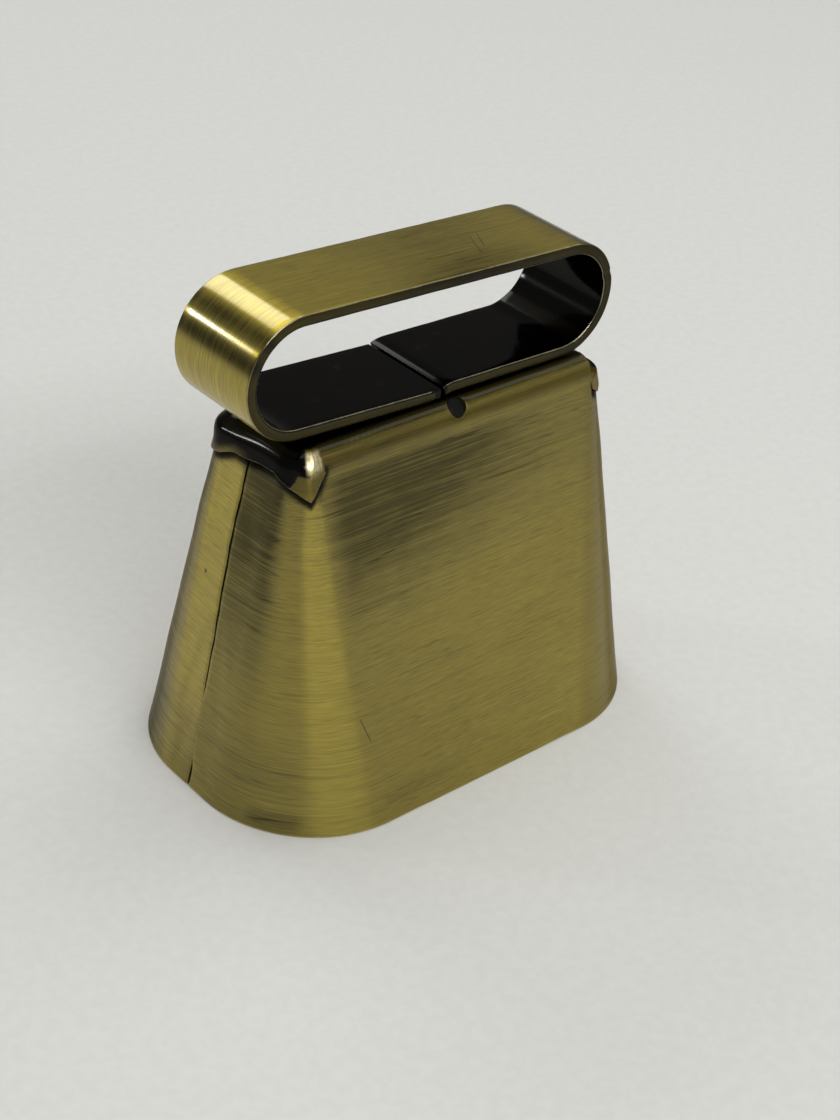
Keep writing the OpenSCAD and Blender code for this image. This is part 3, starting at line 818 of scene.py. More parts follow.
def build_strap(material):
    """The strip: its rounded section carried along the strap's middle line. The ends close with
    two rows that draw the section in."""
    s = settings().strap
    path = strap_path()
    section = strip_section(s.width, s.thickness)
    out, across = section[:, 0], section[:, 1]
    # end rows: the same section drawn in a little, then closed to its middle line
    soft = 0.1 * MM
    head, tail = path[0], path[-1]

    def shifted(row, by):
        return np.array([row[0] + by * math.cos(row[2]), row[1] + by * math.sin(row[2]), row[2]])

    lines = np.concatenate([[head, head, shifted(head, 0.35 * soft)], path[1:-1],
                            [shifted(tail, -0.35 * soft), tail, tail]])
    draw = np.zeros((len(lines), 1))
    draw[[1, -2]] = soft
    shut = np.ones_like(draw)
    shut[[0, -1]] = 0
    at_end = np.zeros_like(draw)
    at_end[:4] = at_end[-4:] = 1
    length_at = path_length(lines[:, :2])
    # the edges waver a little, and the far edge has a small nick in the right bend
    wave = waves(length_at, (0.018 * MM, 13 * MM, 0.2), (0.01 * MM, 4.7 * MM, 1.2))[:, None]
    nick = 0.12 * MM * hump(length_at, length_at[np.argmax(lines[:, 0])] - 1.5 * MM, 0.5 * MM)[:, None]
    at_edge = np.abs(across) > s.width * 0.47
    outwards = (np.abs(out) - 0.004 * MM - draw) * np.sign(out) * shut
    sideways = ((np.abs(across) - draw - np.abs(wave) * at_edge) * np.sign(across)
                + nick * (at_edge & (across < 0)))
    h = lines[:, 2:]
    grid = np.stack([lines[:, :1] - np.sin(h) * outwards, s.back + sideways,
                     lines[:, 1:2] + np.cos(h) * outwards], -1)
    x, z, deg = lines[:, :1] / MM, lines[:, 1:2] / MM, np.degrees(h)
    top_mid = hump(x, 2, 14) * (np.cos(h) > 0.9)
    shade = (0.5 + 0.35 * ramp(-sideways / MM, 0.5, 4.5)) * top_mid + 0.55 * hump(x, 15.5, 5)
    # painted shade: two dark bands across the left bend, between its highlights
    shade = most(np.clip(shade, 0, 1), 0.95 * hump(deg, 41, 12) + 0.85 * hump(deg, 66, 13),
                 0.12 * ramp(-x, 14, 18) * ramp(z, 41, 39))
    values = {**dict.fromkeys(SHEET_MARKS, 0), "edge": section[:, 2] * (1 - at_end), "shade": shade,
              "inside": np.maximum(section[:, 3], at_end), "cut": np.abs(out) < s.thickness / 2 * 0.98}
    shell = Shell()
    girth = path_length(np.concatenate([section[:, :2], section[:1, :2]]))
    shell.add(grid, length_at, girth, values)
    return shell.make("strap_loop", material)


def build_welds(material):
    """Two flat beads under the strap. Each is a closed pillow: a superellipse outline whose rows
    swell in the middle of its height, with a lumpy side."""
    top, s, path = settings().body.height, settings().strap, strap_path()
    under = path[:, 1] - s.thickness / 2 * np.abs(np.cos(path[:, 2]))
    weld_long, weld_wide, from_end = 3.2 * MM, 5 * MM, 0.7 * MM
    left_end, right_end = run_ends()
    a = ring_angles(72)
    reach = (np.abs(np.cos(a)) ** 3.4 + np.abs(np.sin(a)) ** 3.4) ** (-1 / 3.4)
    level = np.linspace(0, 1, 7)
    rows = np.concatenate([[0], level, [1]])
    swell = np.concatenate([[0], 1 + 0.07 * np.sin(math.pi * level), [0]])
    shell = Shell()
    for k, (x0, run) in enumerate(((left_end - from_end - weld_long, slice(27, None, -1)),
                                   (right_end + from_end, slice(-8, -33, -1)))):
        lump = 1 + waves(a, (0.05, 0.9, k), (0.03, 0.41, 2.0 * k))
        size = swell[:, None] * reach * lump
        x = x0 + weld_long / 2 * (1 + size * np.cos(a))
        y = s.back + weld_wide / 2 * size * np.sin(a)
        roof = np.interp(x, path[run, 0], under[run])
        z = mix(top - 0.02 * MM, roof + 0.02 * MM, rows[:, None])
        shell.add(np.stack([x, y, z], -1), np.arange(len(rows)) * 0.1 * MM, once_round(72, weld_wide / 2))
    return shell.make("strap_welds", material, sharp=60)


# Small metal pieces

def build_seam_bead(side, material):
    """A bead of braze on the inside of one seam: half an ellipse whose width and height ripple
    along it, with rounded ends, laid on the lining."""
    s = settings().body
    t = np.linspace(0, 1, 60)[:, None]
    z = mix(s.seam_closed_from, s.seam_closed_to, t)
    end = np.sqrt(np.clip(1 - np.abs(2 * t - 1) ** 6, 0, 1))
    ripple = 1 + waves(z, (0.07, 0.83 * MM, side), (0.06, 1.9 * MM, 0.7), (0.05, 0.47 * MM, 2))
    a = np.radians(np.linspace(-90, 90, 25))
    lean = math.atan((s.mouth_long - s.top_long) / 2 / s.height)
    high = 0.44 * MM * end * np.minimum(ripple, 1.06)
    wide = 1.1 * MM * mix(0.55, 1, end) * mix(1, ripple, 0.5) * end
    y = 0.1 * MM * np.sin(z / (1.1 * MM)) + wide * np.sin(a)
    wall = mix(s.mouth_long, s.top_long, z / s.height) / 2 - s.sheet
    x = np.concatenate([wall - high * np.cos(a) * math.cos(lean), wall + 0.05 * MM + 0 * y], 1)
    y = np.concatenate([y, y[:, ::-1]], 1)
    shell = Shell()
    girth = np.linspace(0, 1, y.shape[1] + 1) * 4 * MM
    shell.add(np.stack(np.broadcast_arrays(side * x, y, z), -1), z[:, 0], girth)
    return shell.make("left_seam_bead" if side < 0 else "right_seam_bead", material, sharp=60)


def build_staple(material):
    """The staple: a wire in the YZ plane, level in the middle with rounded elbows and legs that
    slope up to the fold holes, where it swells into a head."""
    c, b = settings().clapper, settings().body
    form = BodyForm(b)
    lean = form.lean[form.broad][0]
    fold_z = b.height - b.fold
    fold_y = form.half_wide(fold_z + b.fold * math.sin(lean)) - b.fold * math.cos(lean)
    elbow, turn = 0.9 * MM, math.radians(45)
    level_to = fold_y - (fold_z - c.staple_height) - elbow * math.tan(turn / 2)
    h = np.linspace(0, turn, 12)[1:]
    bend_y = level_to + elbow * np.sin(h)
    bend_z = c.staple_height + elbow * (1 - np.cos(h))
    leg = np.linspace(0, 1, 26)[1:]
    past_fold = 1.12 * MM / math.sqrt(2)
    y = np.concatenate([np.linspace(0, level_to, 16), bend_y, mix(bend_y[-1], fold_y + past_fold, leg)])
    z = np.concatenate([np.full(16, c.staple_height), bend_z, mix(bend_z[-1], fold_z + past_fold, leg)])
    y, z = np.concatenate([-y[:0:-1], y]), np.concatenate([z[:0:-1], z])
    out = (np.abs(y) - fold_y) * math.sqrt(2)
    radius = mix(c.staple / 2, b.hole / 2 - 0.01 * MM, ramp(out, 0.55 * MM, 0.85 * MM))
    shell = Shell()
    add_wire(shell, np.stack([0 * y, y, z], -1), (1, 0, 0), radius, hump(y, 0, 1.2 * MM), dome=0.25)
    return shell.make("staple_wire", material)


def ring_centre():
    """Height of the ring's centre: it hangs on the staple with a little play."""
    c = settings().clapper
    return c.staple_height + c.staple / 2 + c.play - (c.ring - c.wire / 2)


def eye_centre():
    """Height of the eye's centre: it hangs on the ring's lowest point."""
    c = settings().clapper
    return ring_centre() - c.ring + c.wire / 2 + c.play - (c.eye - c.wire / 2)


def build_ring(material):
    """The ring: a wire bent once round in the XZ plane, with a hair gap at one side where its
    ends meet. It is worn where it hangs and where the eye hangs on it."""
    c = settings().clapper
    a = np.radians(np.linspace(21.6, 378.4, 120))
    path = np.stack([c.ring * np.cos(a), 0 * a, ring_centre() + c.ring * np.sin(a)], -1)
    shell = Shell()
    add_wire(shell, path, (0, 1, 0), c.wire / 2, hump(np.abs(np.sin(a)), 1, 0.08), dome=0.12)
    return shell.make("hanger_ring", material)


def build_clapper_wire(material):
    """The clapper's wire: an eye in the YZ plane, a ribbed neck below it, a straight shank and a
    riveted foot, the last three turned round Z."""
    c = settings().clapper
    shell = Shell()
    eye = eye_centre()
    a = ring_angles(96)
    path = np.stack([0 * a, c.eye * np.cos(a), eye + c.eye * np.sin(a)], -1)
    add_wire(shell, path, (1, 0, 0), c.wire / 2, hump(np.sin(a), 1, 0.12))
    neck_low, neck_top = eye - c.eye - 2 * MM, eye - c.eye + 0.2 * MM
    t = np.linspace(0, 1, 34)
    rib = 1.05 * MM - 0.14 * MM * np.abs(np.cos(math.pi * 2.5 * t))
    neck = np.stack([rib * np.sqrt(np.clip(1 - np.abs(2 * t - 1) ** 9, 0, 1)),
                     mix(neck_low, neck_top, t)], 1)
    neck[[0, -1], 0] = 0
    add_turned(shell, neck, 32, worn=0)
    foot = c.ball_height - c.ball / 2 + 0.45 * MM
    wall = np.linspace(foot, neck_low + 0.5 * MM, 30)
    shank = np.stack([np.full(30, c.wire / 2), wall], 1)
    add_turned(shell, [[0, wall[0]], *shank, [0, wall[-1]]], 28, worn=0)
    turn = np.radians(np.linspace(0, 90, 10))[1:]
    head = np.stack([1.1 * MM * np.sin(turn) ** 0.7, foot - 0.08 * MM - 0.31 * MM * np.cos(turn)], 1)
    add_turned(shell, [[0, foot - 0.39 * MM], *head, [1.08 * MM, foot + 0.02 * MM], [0, foot + 0.02 * MM]],
               32, worn=0.6)
    return shell.make("clapper_eye_wire", material)


def build_ball(material):
    """The ball: a turned half-circle with a flat below and a bore through it. Its radius carries
    shallow casting lumps and a fine parting ridge in the XZ plane."""
    c = settings().clapper
    r = c.ball / 2
    bore = c.wire / 2 + 0.03 * MM
    foot = -r + 0.45 * MM
    flat = math.sqrt(r * r - foot * foot)
    lat = np.linspace(math.asin(foot / r), math.acos(bore / r), 92)
    skin = r * np.stack([np.cos(lat), np.sin(lat)], 1)
    inside = np.stack([np.full(12, bore), np.linspace(skin[-1, 1], foot, 12)], 1)
    profile = np.concatenate([[[bore, foot], [mix(bore, flat, 0.5), foot], [flat - 0.08 * MM, foot]],
                              skin[1:], inside[1:]])
    worn = np.zeros((len(profile), 1))
    worn[3:94, 0] = hump(skin[:91, 1], -0.3 * MM, 1.6 * MM)
    a, z = ring_angles(128), profile[:, 1:]
    level = np.sqrt(np.clip(r * r - z * z, 0, None))
    ridge = 0.05 * MM * bell_curve(level * np.sin(a), 0, 0.09 * MM)
    soft = 0.014 * MM * (np.sin(5 * a + 900 * z) + np.sin(3 * a - 1400 * z + 1) + np.sin(9 * a + 2300 * z))
    lumps = np.clip((level - 1.2 * MM) / (1 * MM), 0, 1) * (ridge + soft - 0.05 * MM)
    lumps = np.where(profile[:, :1] <= bore + TINY, 0, lumps)
    shell = Shell()
    add_turned(shell, profile, 128, worn, c.ball_height, lumps, closed=True)
    return shell.make("iron_ball", material, sharp=45)


# Node helpers

class Value:
    """An output of a node. Values can be added, subtracted and multiplied."""

    def __init__(self, tree, socket):
        self.tree, self.socket = tree, socket

    def __add__(self, other):
        return self.tree.math("ADD", self, other)

    def __sub__(self, other):
        return self.tree.math("SUBTRACT", self, other)

    def __rsub__(self, other):
        return self.tree.math("SUBTRACT", other, self)

    def __mul__(self, other):
        return self.tree.math("MULTIPLY", self, other)


class Tree:
    """A short way to write a node tree."""

    def __init__(self, tree):
        self.tree = tree

    def node(self, kind, inputs=None, **properties):
        """Adds a node, sets its properties and fills its inputs with Values or plain values."""
        made = self.tree.nodes.new("ShaderNode" + kind)
        for key, value in properties.items():
            setattr(made, key, value)
        for key, value in (inputs or {}).items():
            if isinstance(value, Value):
                self.tree.links.new(value.socket, made.inputs[key])
            else:
                made.inputs[key].default_value = value
        return made

    def out(self, kind, inputs=None, output=0, **properties):
        """One output of a new node."""
        return Value(self, self.node(kind, inputs, **properties).outputs[output])

    def math(self, operation, *values, clamp=False):
        """A maths node."""
        return self.out("Math", dict(enumerate(values)), operation=operation, use_clamp=clamp)

    def most(self, first, *others):
        """The largest of several values."""
        for each in others:
            first = self.math("MAXIMUM", first, each)
        return first

    def blend(self, a, b, factor):
        """A colour mix."""
        a, b = (k if isinstance(k, Value) else (*k, 1) for k in (a, b))
        return self.out("Mix", {"Factor": factor, 6: a, 7: b}, 2, data_type="RGBA", clamp_factor=True)

    def between(self, value, low, high, to_low=0.0, to_high=1.0, smooth=True):
        """A value from one range to another, held at the ends."""
        return self.out("MapRange", {"Value": value, "From Min": low, "From Max": high,
                                     "To Min": to_low, "To Max": to_high},
                        interpolation_type="SMOOTHSTEP" if smooth else "LINEAR")

    def noise(self, vector, scale, detail=2.0, rough=0.5):
        """A noise texture's value."""
        return self.out("TexNoise", {"Vector": vector, "Scale": scale, "Detail": detail,
                                     "Roughness": rough}, "Fac")

    def value(self, name):
        """A point value of the piece."""
        return self.out("Attribute", None, "Fac", attribute_name=name, attribute_type="GEOMETRY")

    def place(self):
        """The place on the piece in metres."""
        return self.out("TexCoord", None, "Object")

    def grain_map(self):
        """The place on the piece's map in millimetres."""
        return self.out("UVMap", uv_map=GRAIN_MAP)

    def split(self, vector):
        """The parts of a vector."""
        return [Value(self, each) for each in self.node("SeparateXYZ", {0: vector}).outputs]

    def bump(self, height, strength, distance):
        """A normal for a height, with the distance in millimetres."""
        return self.out("Bump", {"Height": height, "Strength": strength, "Distance": distance * MM})

    def group(self, group, **inputs):
        """Places a node group. Gives its only output, or all of them by name."""
        inputs = {key.replace("_", " "): value for key, value in inputs.items()}
        outputs = self.node("Group", inputs, node_tree=group).outputs
        made = {each.name: Value(self, each) for each in outputs}
        return made.get("Mask", made)

    def stroke(self, parts, along, across, seed, detail=1.0):
        """Noise drawn out along the first direction of a map: feature sizes in features per mm."""
        return self.noise(self.out("CombineXYZ", {0: parts[0] * along, 1: parts[1] * across, 2: seed}),
                          1.0, detail)


def shader_group(name, inputs, fill):
    """A shader node group, built once. Inputs without a default are vectors, and fill(tree,
    inputs) gives the outputs by name."""
    group = bpy.data.node_groups.get(name)
    if group:
        return group
    group = bpy.data.node_groups.new(name, "ShaderNodeTree")
    for key, default in inputs.items():
        kind = "NodeSocketVector" if default is None else "NodeSocketFloat"
        socket = group.interface.new_socket(key, in_out="INPUT", socket_type=kind)
        if default is not None:
            socket.default_value = default
    tree = Tree(group)
    source = group.nodes.new("NodeGroupInput")
    made = fill(tree, {each.name: Value(tree, each) for each in source.outputs if each.name})
    for key in made:
        group.interface.new_socket(key, in_out="OUTPUT", socket_type="NodeSocketFloat")
    result = group.nodes.new("NodeGroupOutput")
    for key, value in made.items():
        group.links.new(value.socket, result.inputs[key])
    return group


def brushed_grain():
    """Fine strokes along the first direction of a map in millimetres."""
    def fill(t, i):
        parts, strokes = t.split(i["Map"]), i["Strokes"]
        fine = t.stroke(parts, 0.25, strokes, 1.3)
        short = t.stroke(parts, 0.8, strokes * 1.6, 3.9, 0.0)
        broad = t.stroke(parts, 0.07, strokes * 0.3, 7.1, 2.0)
        tone = fine * 0.45 + (broad * 0.15 + short * 0.4)
        return {"Height": tone, "Tone": t.between(tone, 0.3, 0.7, smooth=False)}
    return shader_group("brushed grain", {"Map": None, "Strokes": 8.0}, fill)


def patina_streaks():
    """Dark patina that the brush left in fine strokes, denser where Amount is high. Amount also
    carries painted shade, which is drawn in the same strokes. Its thin long lines lie where a
    drawn-out noise passes its middle value."""
    def fill(t, i):
        parts, amount = t.split(i["Map"]), i["Amount"]
        fine, medium = t.stroke(parts, 0.14, 8.0, 5.5), t.stroke(parts, 0.1, 4.0, 6.4)
        level = t.noise(i["Map"], 0.35) * 0.25 + (medium * 0.2 + fine * 0.55)
        dense = amount * t.between(level, 0.36, 0.64, 0.72, 1.3, smooth=False)
        line = t.math("ABSOLUTE", t.stroke(parts, 0.06, 2.4, 8.7, 0.0) - 0.5)
        here = t.between(t.stroke(parts, 0.12, 1.1, 4.2), 0.42, 0.6)
        line = t.between(line, 0.03, 0.008) * here * (amount * 0.45 + 0.14)
        return {"Mask": t.math("ADD", dense, line, clamp=True)}
    return shader_group("patina streaks", {"Map": None, "Amount": 0.5}, fill)


def edge_wear():
    """Bright wear along edges, broken up by noise."""
    def fill(t, i):
        rough = t.noise(i["Place"], 900.0, 3.0, 0.6)
        return {"Mask": t.between(i["Edge"] + (rough - 0.5) * 0.7, 0.45, 0.95)}
    return shader_group("edge wear", {"Place": None, "Edge": 0.0}, fill)


def small_pits():
    """Sparse small pits and specks."""
    def fill(t, i):
        cells = t.node("TexVoronoi", {"Vector": i["Place"], "Scale": i["Per metre"], "Randomness": 1.0})
        chance = t.out("SeparateColor", {0: Value(t, cells.outputs["Color"])})
        size = t.between(Value(t, cells.outputs["Distance"]), i["Size"], i["Size"] * 0.55)
        return {"Mask": t.between(chance, 0.9, 0.905, smooth=False) * size}
    return shader_group("small pits", {"Place": None, "Per metre": 260.0, "Size": 0.06}, fill)


def hair_scratch():
    """One thin straight scratch at a place on a map in millimetres."""
    def fill(t, i):
        moved = t.out("VectorMath", {0: i["Map"], 1: i["Centre"]}, operation="SUBTRACT")
        turned = t.out("VectorRotate", {"Vector": moved, "Angle": i["Turn"]}, rotation_type="Z_AXIS")
        parts = t.split(turned)
        along = t.between(t.math("ABSOLUTE", parts[0]), i["Length"] * 0.5, i["Length"] * 0.35)
        across = t.between(t.math("ABSOLUTE", parts[1]), i["Width"], i["Width"] * 0.3)
        return {"Mask": along * across}
    return shader_group("hair scratch", {"Map": None, "Centre": None, "Turn": 0.0, "Length": 3.0,
                                         "Width": 0.06}, fill)


# Materials

def new_material(name):
    """A material and its tree."""
    material = bpy.data.materials.new(name)
    material.use_nodes = True
    material.node_tree.nodes.clear()
    return material, Tree(material.node_tree)


def set_surface(t, **inputs):
    """Adds the surface shader with its inputs, and the output."""
    inputs = {key.replace("_", " "): value for key, value in inputs.items()}
    t.node("OutputMaterial", {"Surface": t.out("BsdfPrincipled", inputs)})


def scaled(rgb, k):
    """A colour made brighter or darker."""
    return tuple(min(1, k * each) for each in rgb)


def aged_brass(name, strokes, tone, scratches, lined=False):
    """Brushed brass under a thin brown lacquer, with dark patina in its strokes, black where the
    brush didn't reach and bright along its edges, and with painted shade: black in the gaps under
    the tabs, deep gold where folds reflect dark surroundings, and in the strokes with the patina. A
    lined sheet is brown with oxide inside. A scratch is a place on the map, a turn in degrees, a
    length and a width, in millimetres."""
    f = settings().finish
    material, t = new_material(name)
    grain_map, place = t.grain_map(), t.place()
    black, inside, gap, edge, shade, gold_shade, bare, matte, cut = (t.value(k) for k in SHEET_MARKS)
    grain = t.group(brushed_grain(), Map=grain_map, Strokes=strokes)
    streaks = t.group(patina_streaks(), Map=grain_map, Amount=shade)
    pits = t.group(small_pits(), Place=place)
    wear = t.group(edge_wear(), Place=place, Edge=edge)
    for centre, turn, size, width in scratches:
        pits = t.most(pits, t.group(hair_scratch(), Map=grain_map, Centre=(*centre, 0),
                                    Turn=math.radians(turn), Length=size, Width=width))
    rubbed = t.between(t.noise(place, 420.0, 4.0, 0.65), 0.6, 0.8) * 0.1
    # painted shadow: the gap mark blends to the same black as the blackened parts
    dark = t.most(black, inside, gap, cut * 0.9)
    dark = t.math("SUBTRACT", dark, rubbed * dark, clamp=True)
    bare = bare * t.between(t.noise(place, 1900.0, 3.0, 0.6), 0.3, 0.48)
    warm = t.between(t.noise(place, 130.0, 3.0, 0.55), 0.35, 0.7)
    # painted shade: the deep gold layer darkens the folds and edges that reflect dark surroundings
    layers = [(scaled(f.warm, tone), warm * 0.25), (f.gold_shade, gold_shade * 0.85), (f.patina, streaks * 0.9),
              (f.patina, pits), (f.black, dark)]
    layers += [(f.lining, inside)] if lined else []
    layers += [(f.bare_brass, wear * 0.5), (scaled(f.bare_brass, 1.5), bare)]
    base = t.blend(scaled(f.olive, tone), scaled(f.brass, tone), grain["Tone"])
    for rgb, factor in layers:
        base = t.blend(base, rgb, factor)
    dull = t.most(dark, streaks * 0.7, gold_shade * 0.75, matte * 0.85)
    coat = t.between(dull, 0.3, 1.0, 0.9, 0.1, smooth=False)
    clean = 1.0 - dark * 0.8
    depth = (grain["Height"] - pits * 1.5) * clean + t.noise(place, 700.0, 3.0, 0.6) * (dark * 0.5)
    set_surface(t, Base_Color=base, Metallic=1.0 - inside * 0.7 if lined else 1.0,
                Roughness=streaks * 0.08 + 0.33 - bare * 0.08 - dark * 0.06,
                Specular_Tint=(0.5, 0.45, 0.33, 1), Anisotropic=0.95, Anisotropic_Rotation=0.25,
                Tangent=t.out("Tangent", direction_type="UV_MAP", uv_map=GRAIN_MAP),
                Coat_Weight=t.math("ADD", coat, t.most(black * 0.13, inside * 0.2), clamp=True),
                Coat_Roughness=0.12, Normal=t.bump(depth, 0.35, 0.022))
    return material


def wire_steel(name, rgb, rust=0.35, rough=0.34):
    """Blackened steel wire with draw marks, bright where the links rub."""
    material, t = new_material(name)
    place = t.place()
    grain = t.group(brushed_grain(), Map=t.grain_map(), Strokes=5.0)
    wear = t.group(edge_wear(), Place=place, Edge=t.value("worn"))
    cloud = t.between(t.noise(place, 500.0, 4.0, 0.6), 0.35, 0.75)
    base = t.blend(rgb, scaled(rgb, 1.9), grain["Tone"] * 0.7)
    base = t.blend(t.blend(base, (0.075, 0.05, 0.035), cloud * rust), settings().finish.bare_iron, wear)
    set_surface(t, Base_Color=base, Metallic=0.9, Roughness=cloud * 0.18 + rough,
                Normal=t.bump(grain["Height"], 0.35, 0.03))
    return material


def cast_iron():
    """Dark cast iron: sandy skin, brown tinge, bright round the belt that strikes the bell."""
    f = settings().finish
    material, t = new_material("cast iron")
    place = t.place()
    wear = t.group(edge_wear(), Place=place, Edge=t.value("worn"))
    sand, lumps = t.noise(place, 2600.0, 4.0, 0.65), t.noise(place, 600.0, 3.0, 0.55)
    pits = t.group(small_pits(), Place=place, Per_metre=900.0, Size=0.22)
    base = t.blend(f.iron, (0.16, 0.11, 0.075), t.between(lumps, 0.4, 0.75))
    base = t.blend(t.blend(base, scaled(f.iron, 0.35), pits), f.bare_iron, wear * 0.7)
    set_surface(t, Base_Color=base, Metallic=0.8,
                Roughness=t.between(wear, 0, 1, 0.62, 0.36, smooth=False),
                Normal=t.bump(sand * 0.5 + (lumps - pits), 0.6, 0.06))
    return material


def rough_metal(name, rgb, dark_rgb, rough):
    """Lumpy weld or braze metal with dark scale in its hollows."""
    material, t = new_material(name)
    place = t.place()
    scale = t.between(t.noise(place, 700.0, 3.0, 0.6), 0.42, 0.62)
    set_surface(t, Base_Color=t.blend(rgb, dark_rgb, scale), Metallic=0.85,
                Roughness=t.between(scale, 0, 1, rough, rough + 0.2, smooth=False),
                Normal=t.bump(t.noise(place, 1300.0, 4.0, 0.6), 0.7, 0.08))
    return material


# Operators

class DOGBELL_OT_body(bpy.types.Operator):
    """Make the folded sheet body"""
    bl_idname = "dog_bell.body"
    bl_label = "Body"

    def execute(self, context):
        # the thin scratch low on the front
        scratches = [((-0.65, 9.2), 78, 2.7, 0.055)]
        material = aged_brass("brushed brass sheet", 10.0, 1.0, scratches, lined=True)
        finish_piece(build_body(material), "bell", "bell_sheet", "bell_shell")
        return {"FINISHED"}


class DOGBELL_OT_seam_beads(bpy.types.Operator):
    """Make the beads of braze inside the two seams"""
    bl_idname = "dog_bell.seam_beads"
    bl_label = "Seam beads"

    def execute(self, context):
        f = settings().finish
        material = rough_metal("seam braze", f.braze, f.patina, 0.38)
        finish_piece(build_seam_bead(-1, material), "bell", "seam_braze", "left_seam_braze")
        finish_piece(build_seam_bead(1, material), "bell", "seam_braze", "right_seam_braze")
        return {"FINISHED"}


class DOGBELL_OT_strap(bpy.types.Operator):
    """Make the collar strap"""
    bl_idname = "dog_bell.strap"
    bl_label = "Collar strap"

    def execute(self, context):
        # two thin scratches across the top
        scratches = [((50.9, 3.2), -66, 4.2, 0.05), ((51.9, 3.7), -64, 2.8, 0.045)]
        material = aged_brass("brushed brass strip", 9.0, 1.15, scratches)
        finish_piece(build_strap(material), "bell", "strap_strip", "collar_strap")
        return {"FINISHED"}


class DOGBELL_OT_strap_welds(bpy.types.Operator):
    """Make the two welds under the strap"""
    bl_idname = "dog_bell.strap_welds"
    bl_label = "Strap welds"

    def execute(self, context):
        material = rough_metal("dark weld", (0.1, 0.085, 0.05), (0.02, 0.02, 0.018), 0.5)
        finish_piece(build_welds(material), "bell", "weld_metal", "strap_weld")
        return {"FINISHED"}


class DOGBELL_OT_staple(bpy.types.Operator):
    """Make the wire staple that carries the clapper"""
    bl_idname = "dog_bell.staple"
    bl_label = "Staple"

    def execute(self, context):
        # painted shade: the staple is a near-black copy of the ring's steel, so that its heads read as the
        # shade in the fold holes
        steel = scaled(settings().finish.steel, 0.045)
        material = wire_steel("staple wire painted as shade", steel, rust=0.05, rough=0.6)
        finish_piece(build_staple(material), "bell", "hanger_wire", "hanger_staple")
        return {"FINISHED"}


class DOGBELL_OT_ring(bpy.types.Operator):
    """Make the ring on the staple"""
    bl_idname = "dog_bell.ring"
    bl_label = "Ring"

    def execute(self, context):
        material = wire_steel("ring wire", settings().finish.steel)
        finish_piece(build_ring(material), "ring", "clapper_steel", "clapper_ring")
        return {"FINISHED"}


class DOGBELL_OT_clapper(bpy.types.Operator):
    """Make the clapper's wire and ball"""
    bl_idname = "dog_bell.clapper"
    bl_label = "Clapper"

    def execute(self, context):
        wire = wire_steel("clapper wire", settings().finish.steel)
        finish_piece(build_clapper_wire(wire), "clapper", "clapper_steel", "clapper_wire")
        finish_piece(build_ball(cast_iron()), "clapper", "clapper_iron", "clapper_ball")
        return {"FINISHED"}


# Stage

# camera of the photograph: place, and its right, down and forward directions
CAMERA_PLACE = (-103.189 * MM, -112.938 * MM, 114.674 * MM)
CAMERA_RIGHT = (0.76035968, -0.64532457, 0.07354837)
CAMERA_DOWN = (-0.30643895, -0.45627695, -0.83540799)
CAMERA_AHEAD = (0.57266773, 0.61267247, -0.54468718)
CAMERA_LENS = 65.61
SENSOR = 36.0

# the floor fades into the plain world between these distances, in metres
CLEAR_FROM, CLEAR_TO = 0.3, 1.2

# lamps: name, direction (azimuth from +X, elevation), distance, width, height, brightness
LAMPS = (
    ("back_soft", (84, 43), 0.62, 0.25, 0.14, 5.0),
    ("back_spot", (129, 23), 0.62, 0.045, 0.045, 50.0),
    ("key", (-98, 42), 0.62, 0.5, 0.12, 10.5),
    ("front_soft", (-48, 20), 0.62, 0.5, 0.3, 0.28),
    ("right_ceiling", (0, 55), 0.62, 0.34, 0.42, 1.45),
    ("overhead", (60, 80), 0.7, 0.5, 0.5, 2.4),
    ("below", (0, -90), 0.5, 1.2, 1.2, 1.8),
)


def make_lamp(name, azimuth, elevation, distance, width, height, brightness):
    """A rectangular soft lamp that faces the bell from a direction. Its power follows from its
    area and from how bright its face looks next to white paper in full light."""
    power = math.pi * width * height * brightness
    data = bpy.data.lights.new(name, "AREA")
    data.shape, data.size, data.size_y, data.energy = "RECTANGLE", width, height, power
    lamp = bpy.data.objects.new(name, data)
    a, e = math.radians(azimuth), math.radians(elevation)
    out = np.array([math.cos(a) * math.cos(e), math.sin(a) * math.cos(e), math.sin(e)])
    side = np.array([-math.sin(a), math.cos(a), 0])
    up = np.cross(out, side)
    turn = Matrix(np.stack([side, up, out], 1).tolist())
    lamp.matrix_world = Matrix.Translation((out * distance).tolist()) @ turn.to_4x4()
    bpy.context.scene.collection.objects.link(lamp)


def make_floor():
    """A large flat floor: one quad grid just under z = 0. It fades into the plain world far away
    and is clear from below, so that the underside can be looked at."""
    rgb = settings().finish.floor
    material, t = new_material("pale paper")
    place = t.place()
    fibre = t.between(t.noise(place, 900.0, 3.0, 0.6), 0.3, 0.7)
    away = t.out("VectorMath", {0: place}, "Value", operation="LENGTH")
    clear = t.most(t.out("NewGeometry", None, "Backfacing"), t.out("LightPath", None, "Is Shadow Ray"),
                   t.between(away, CLEAR_FROM, CLEAR_TO))
    set_surface(t, Base_Color=t.blend(rgb, scaled(rgb, 0.96), fibre), Roughness=0.85,
                Specular_IOR_Level=0.0, Alpha=1.0 - clear)
    k = np.linspace(-3, 3, 5)
    x, y = np.meshgrid(k, k, indexing="ij")
    shell = Shell()
    shell.add(np.stack([x, y, np.full_like(x, -0.02 * MM)], -1), k, k, wrap_columns=False)
    floor = shell.make("floor", material)
    if floor.data.polygons[0].normal.z < 0:
        floor.data.flip_normals()


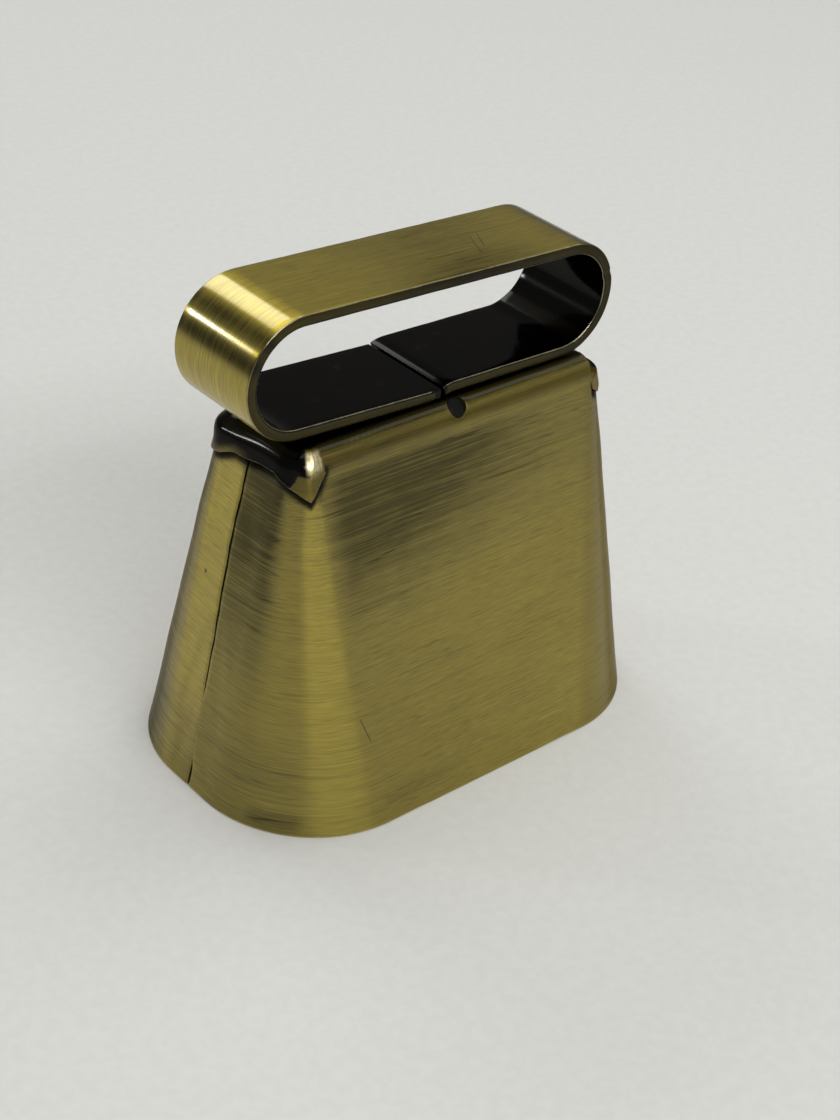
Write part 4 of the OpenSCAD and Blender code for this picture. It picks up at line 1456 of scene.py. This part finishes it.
class DOGBELL_OT_stage(bpy.types.Operator):
    """Make the floor, the lamps, the world and the camera"""
    bl_idname = "dog_bell.stage"
    bl_label = "Stage"

    def execute(self, context):
        scene = context.scene
        make_floor()
        for name, (azimuth, elevation), distance, width, height, brightness in LAMPS:
            make_lamp(name, azimuth, elevation, distance, width, height, brightness)
        world = bpy.data.worlds.new("plain studio")
        world.use_nodes = True
        background = world.node_tree.nodes["Background"]
        background.inputs["Color"].default_value = (*settings().finish.world, 1)
        background.inputs["Strength"].default_value = 1.0
        scene.world = world
        data = bpy.data.cameras.new("photo_camera")
        data.sensor_width, data.lens = SENSOR, CAMERA_LENS
        data.clip_start, data.clip_end = 0.005, 20
        camera = bpy.data.objects.new("photo_camera", data)
        right, down, ahead = (np.array(k) for k in (CAMERA_RIGHT, CAMERA_DOWN, CAMERA_AHEAD))
        turn = Matrix(np.stack([right, -down, -ahead], 1).tolist())
        camera.matrix_world = Matrix.Translation(CAMERA_PLACE) @ turn.to_4x4()
        scene.collection.objects.link(camera)
        scene.camera = camera
        scene.view_settings.view_transform = "Standard"
        return {"FINISHED"}


class DOGBELL_PT_panel(bpy.types.Panel):
    """Buttons that build the bell"""
    bl_idname = "DOGBELL_PT_panel"
    bl_label = "Dog bell"
    bl_space_type = "VIEW_3D"
    bl_region_type = "UI"
    bl_category = "Dog bell"

    def draw(self, context):
        for operator in OPERATORS:
            self.layout.operator(operator.bl_idname)


OPERATORS = (DOGBELL_OT_body, DOGBELL_OT_seam_beads, DOGBELL_OT_strap, DOGBELL_OT_strap_welds,
             DOGBELL_OT_staple, DOGBELL_OT_ring, DOGBELL_OT_clapper, DOGBELL_OT_stage)
CLASSES = (BellBodySizes, StrapSizes, ClapperSizes, FinishColours, DogBellSettings,
           *OPERATORS, DOGBELL_PT_panel)


def register():
    """Registers the classes and the settings."""
    for each in CLASSES:
        bpy.utils.register_class(each)
    bpy.types.Scene.dog_bell = bpy.props.PointerProperty(type=DogBellSettings)


def unregister():
    """Removes them again."""
    del bpy.types.Scene.dog_bell
    for each in reversed(CLASSES):
        bpy.utils.unregister_class(each)


def main():
    """Builds every piece in order."""
    register()
    bpy.ops.dog_bell.body()
    bpy.ops.dog_bell.seam_beads()
    bpy.ops.dog_bell.strap()
    bpy.ops.dog_bell.strap_welds()
    bpy.ops.dog_bell.staple()
    bpy.ops.dog_bell.ring()
    bpy.ops.dog_bell.clapper()
    bpy.ops.dog_bell.stage()


if __name__ == "__main__":
    main()
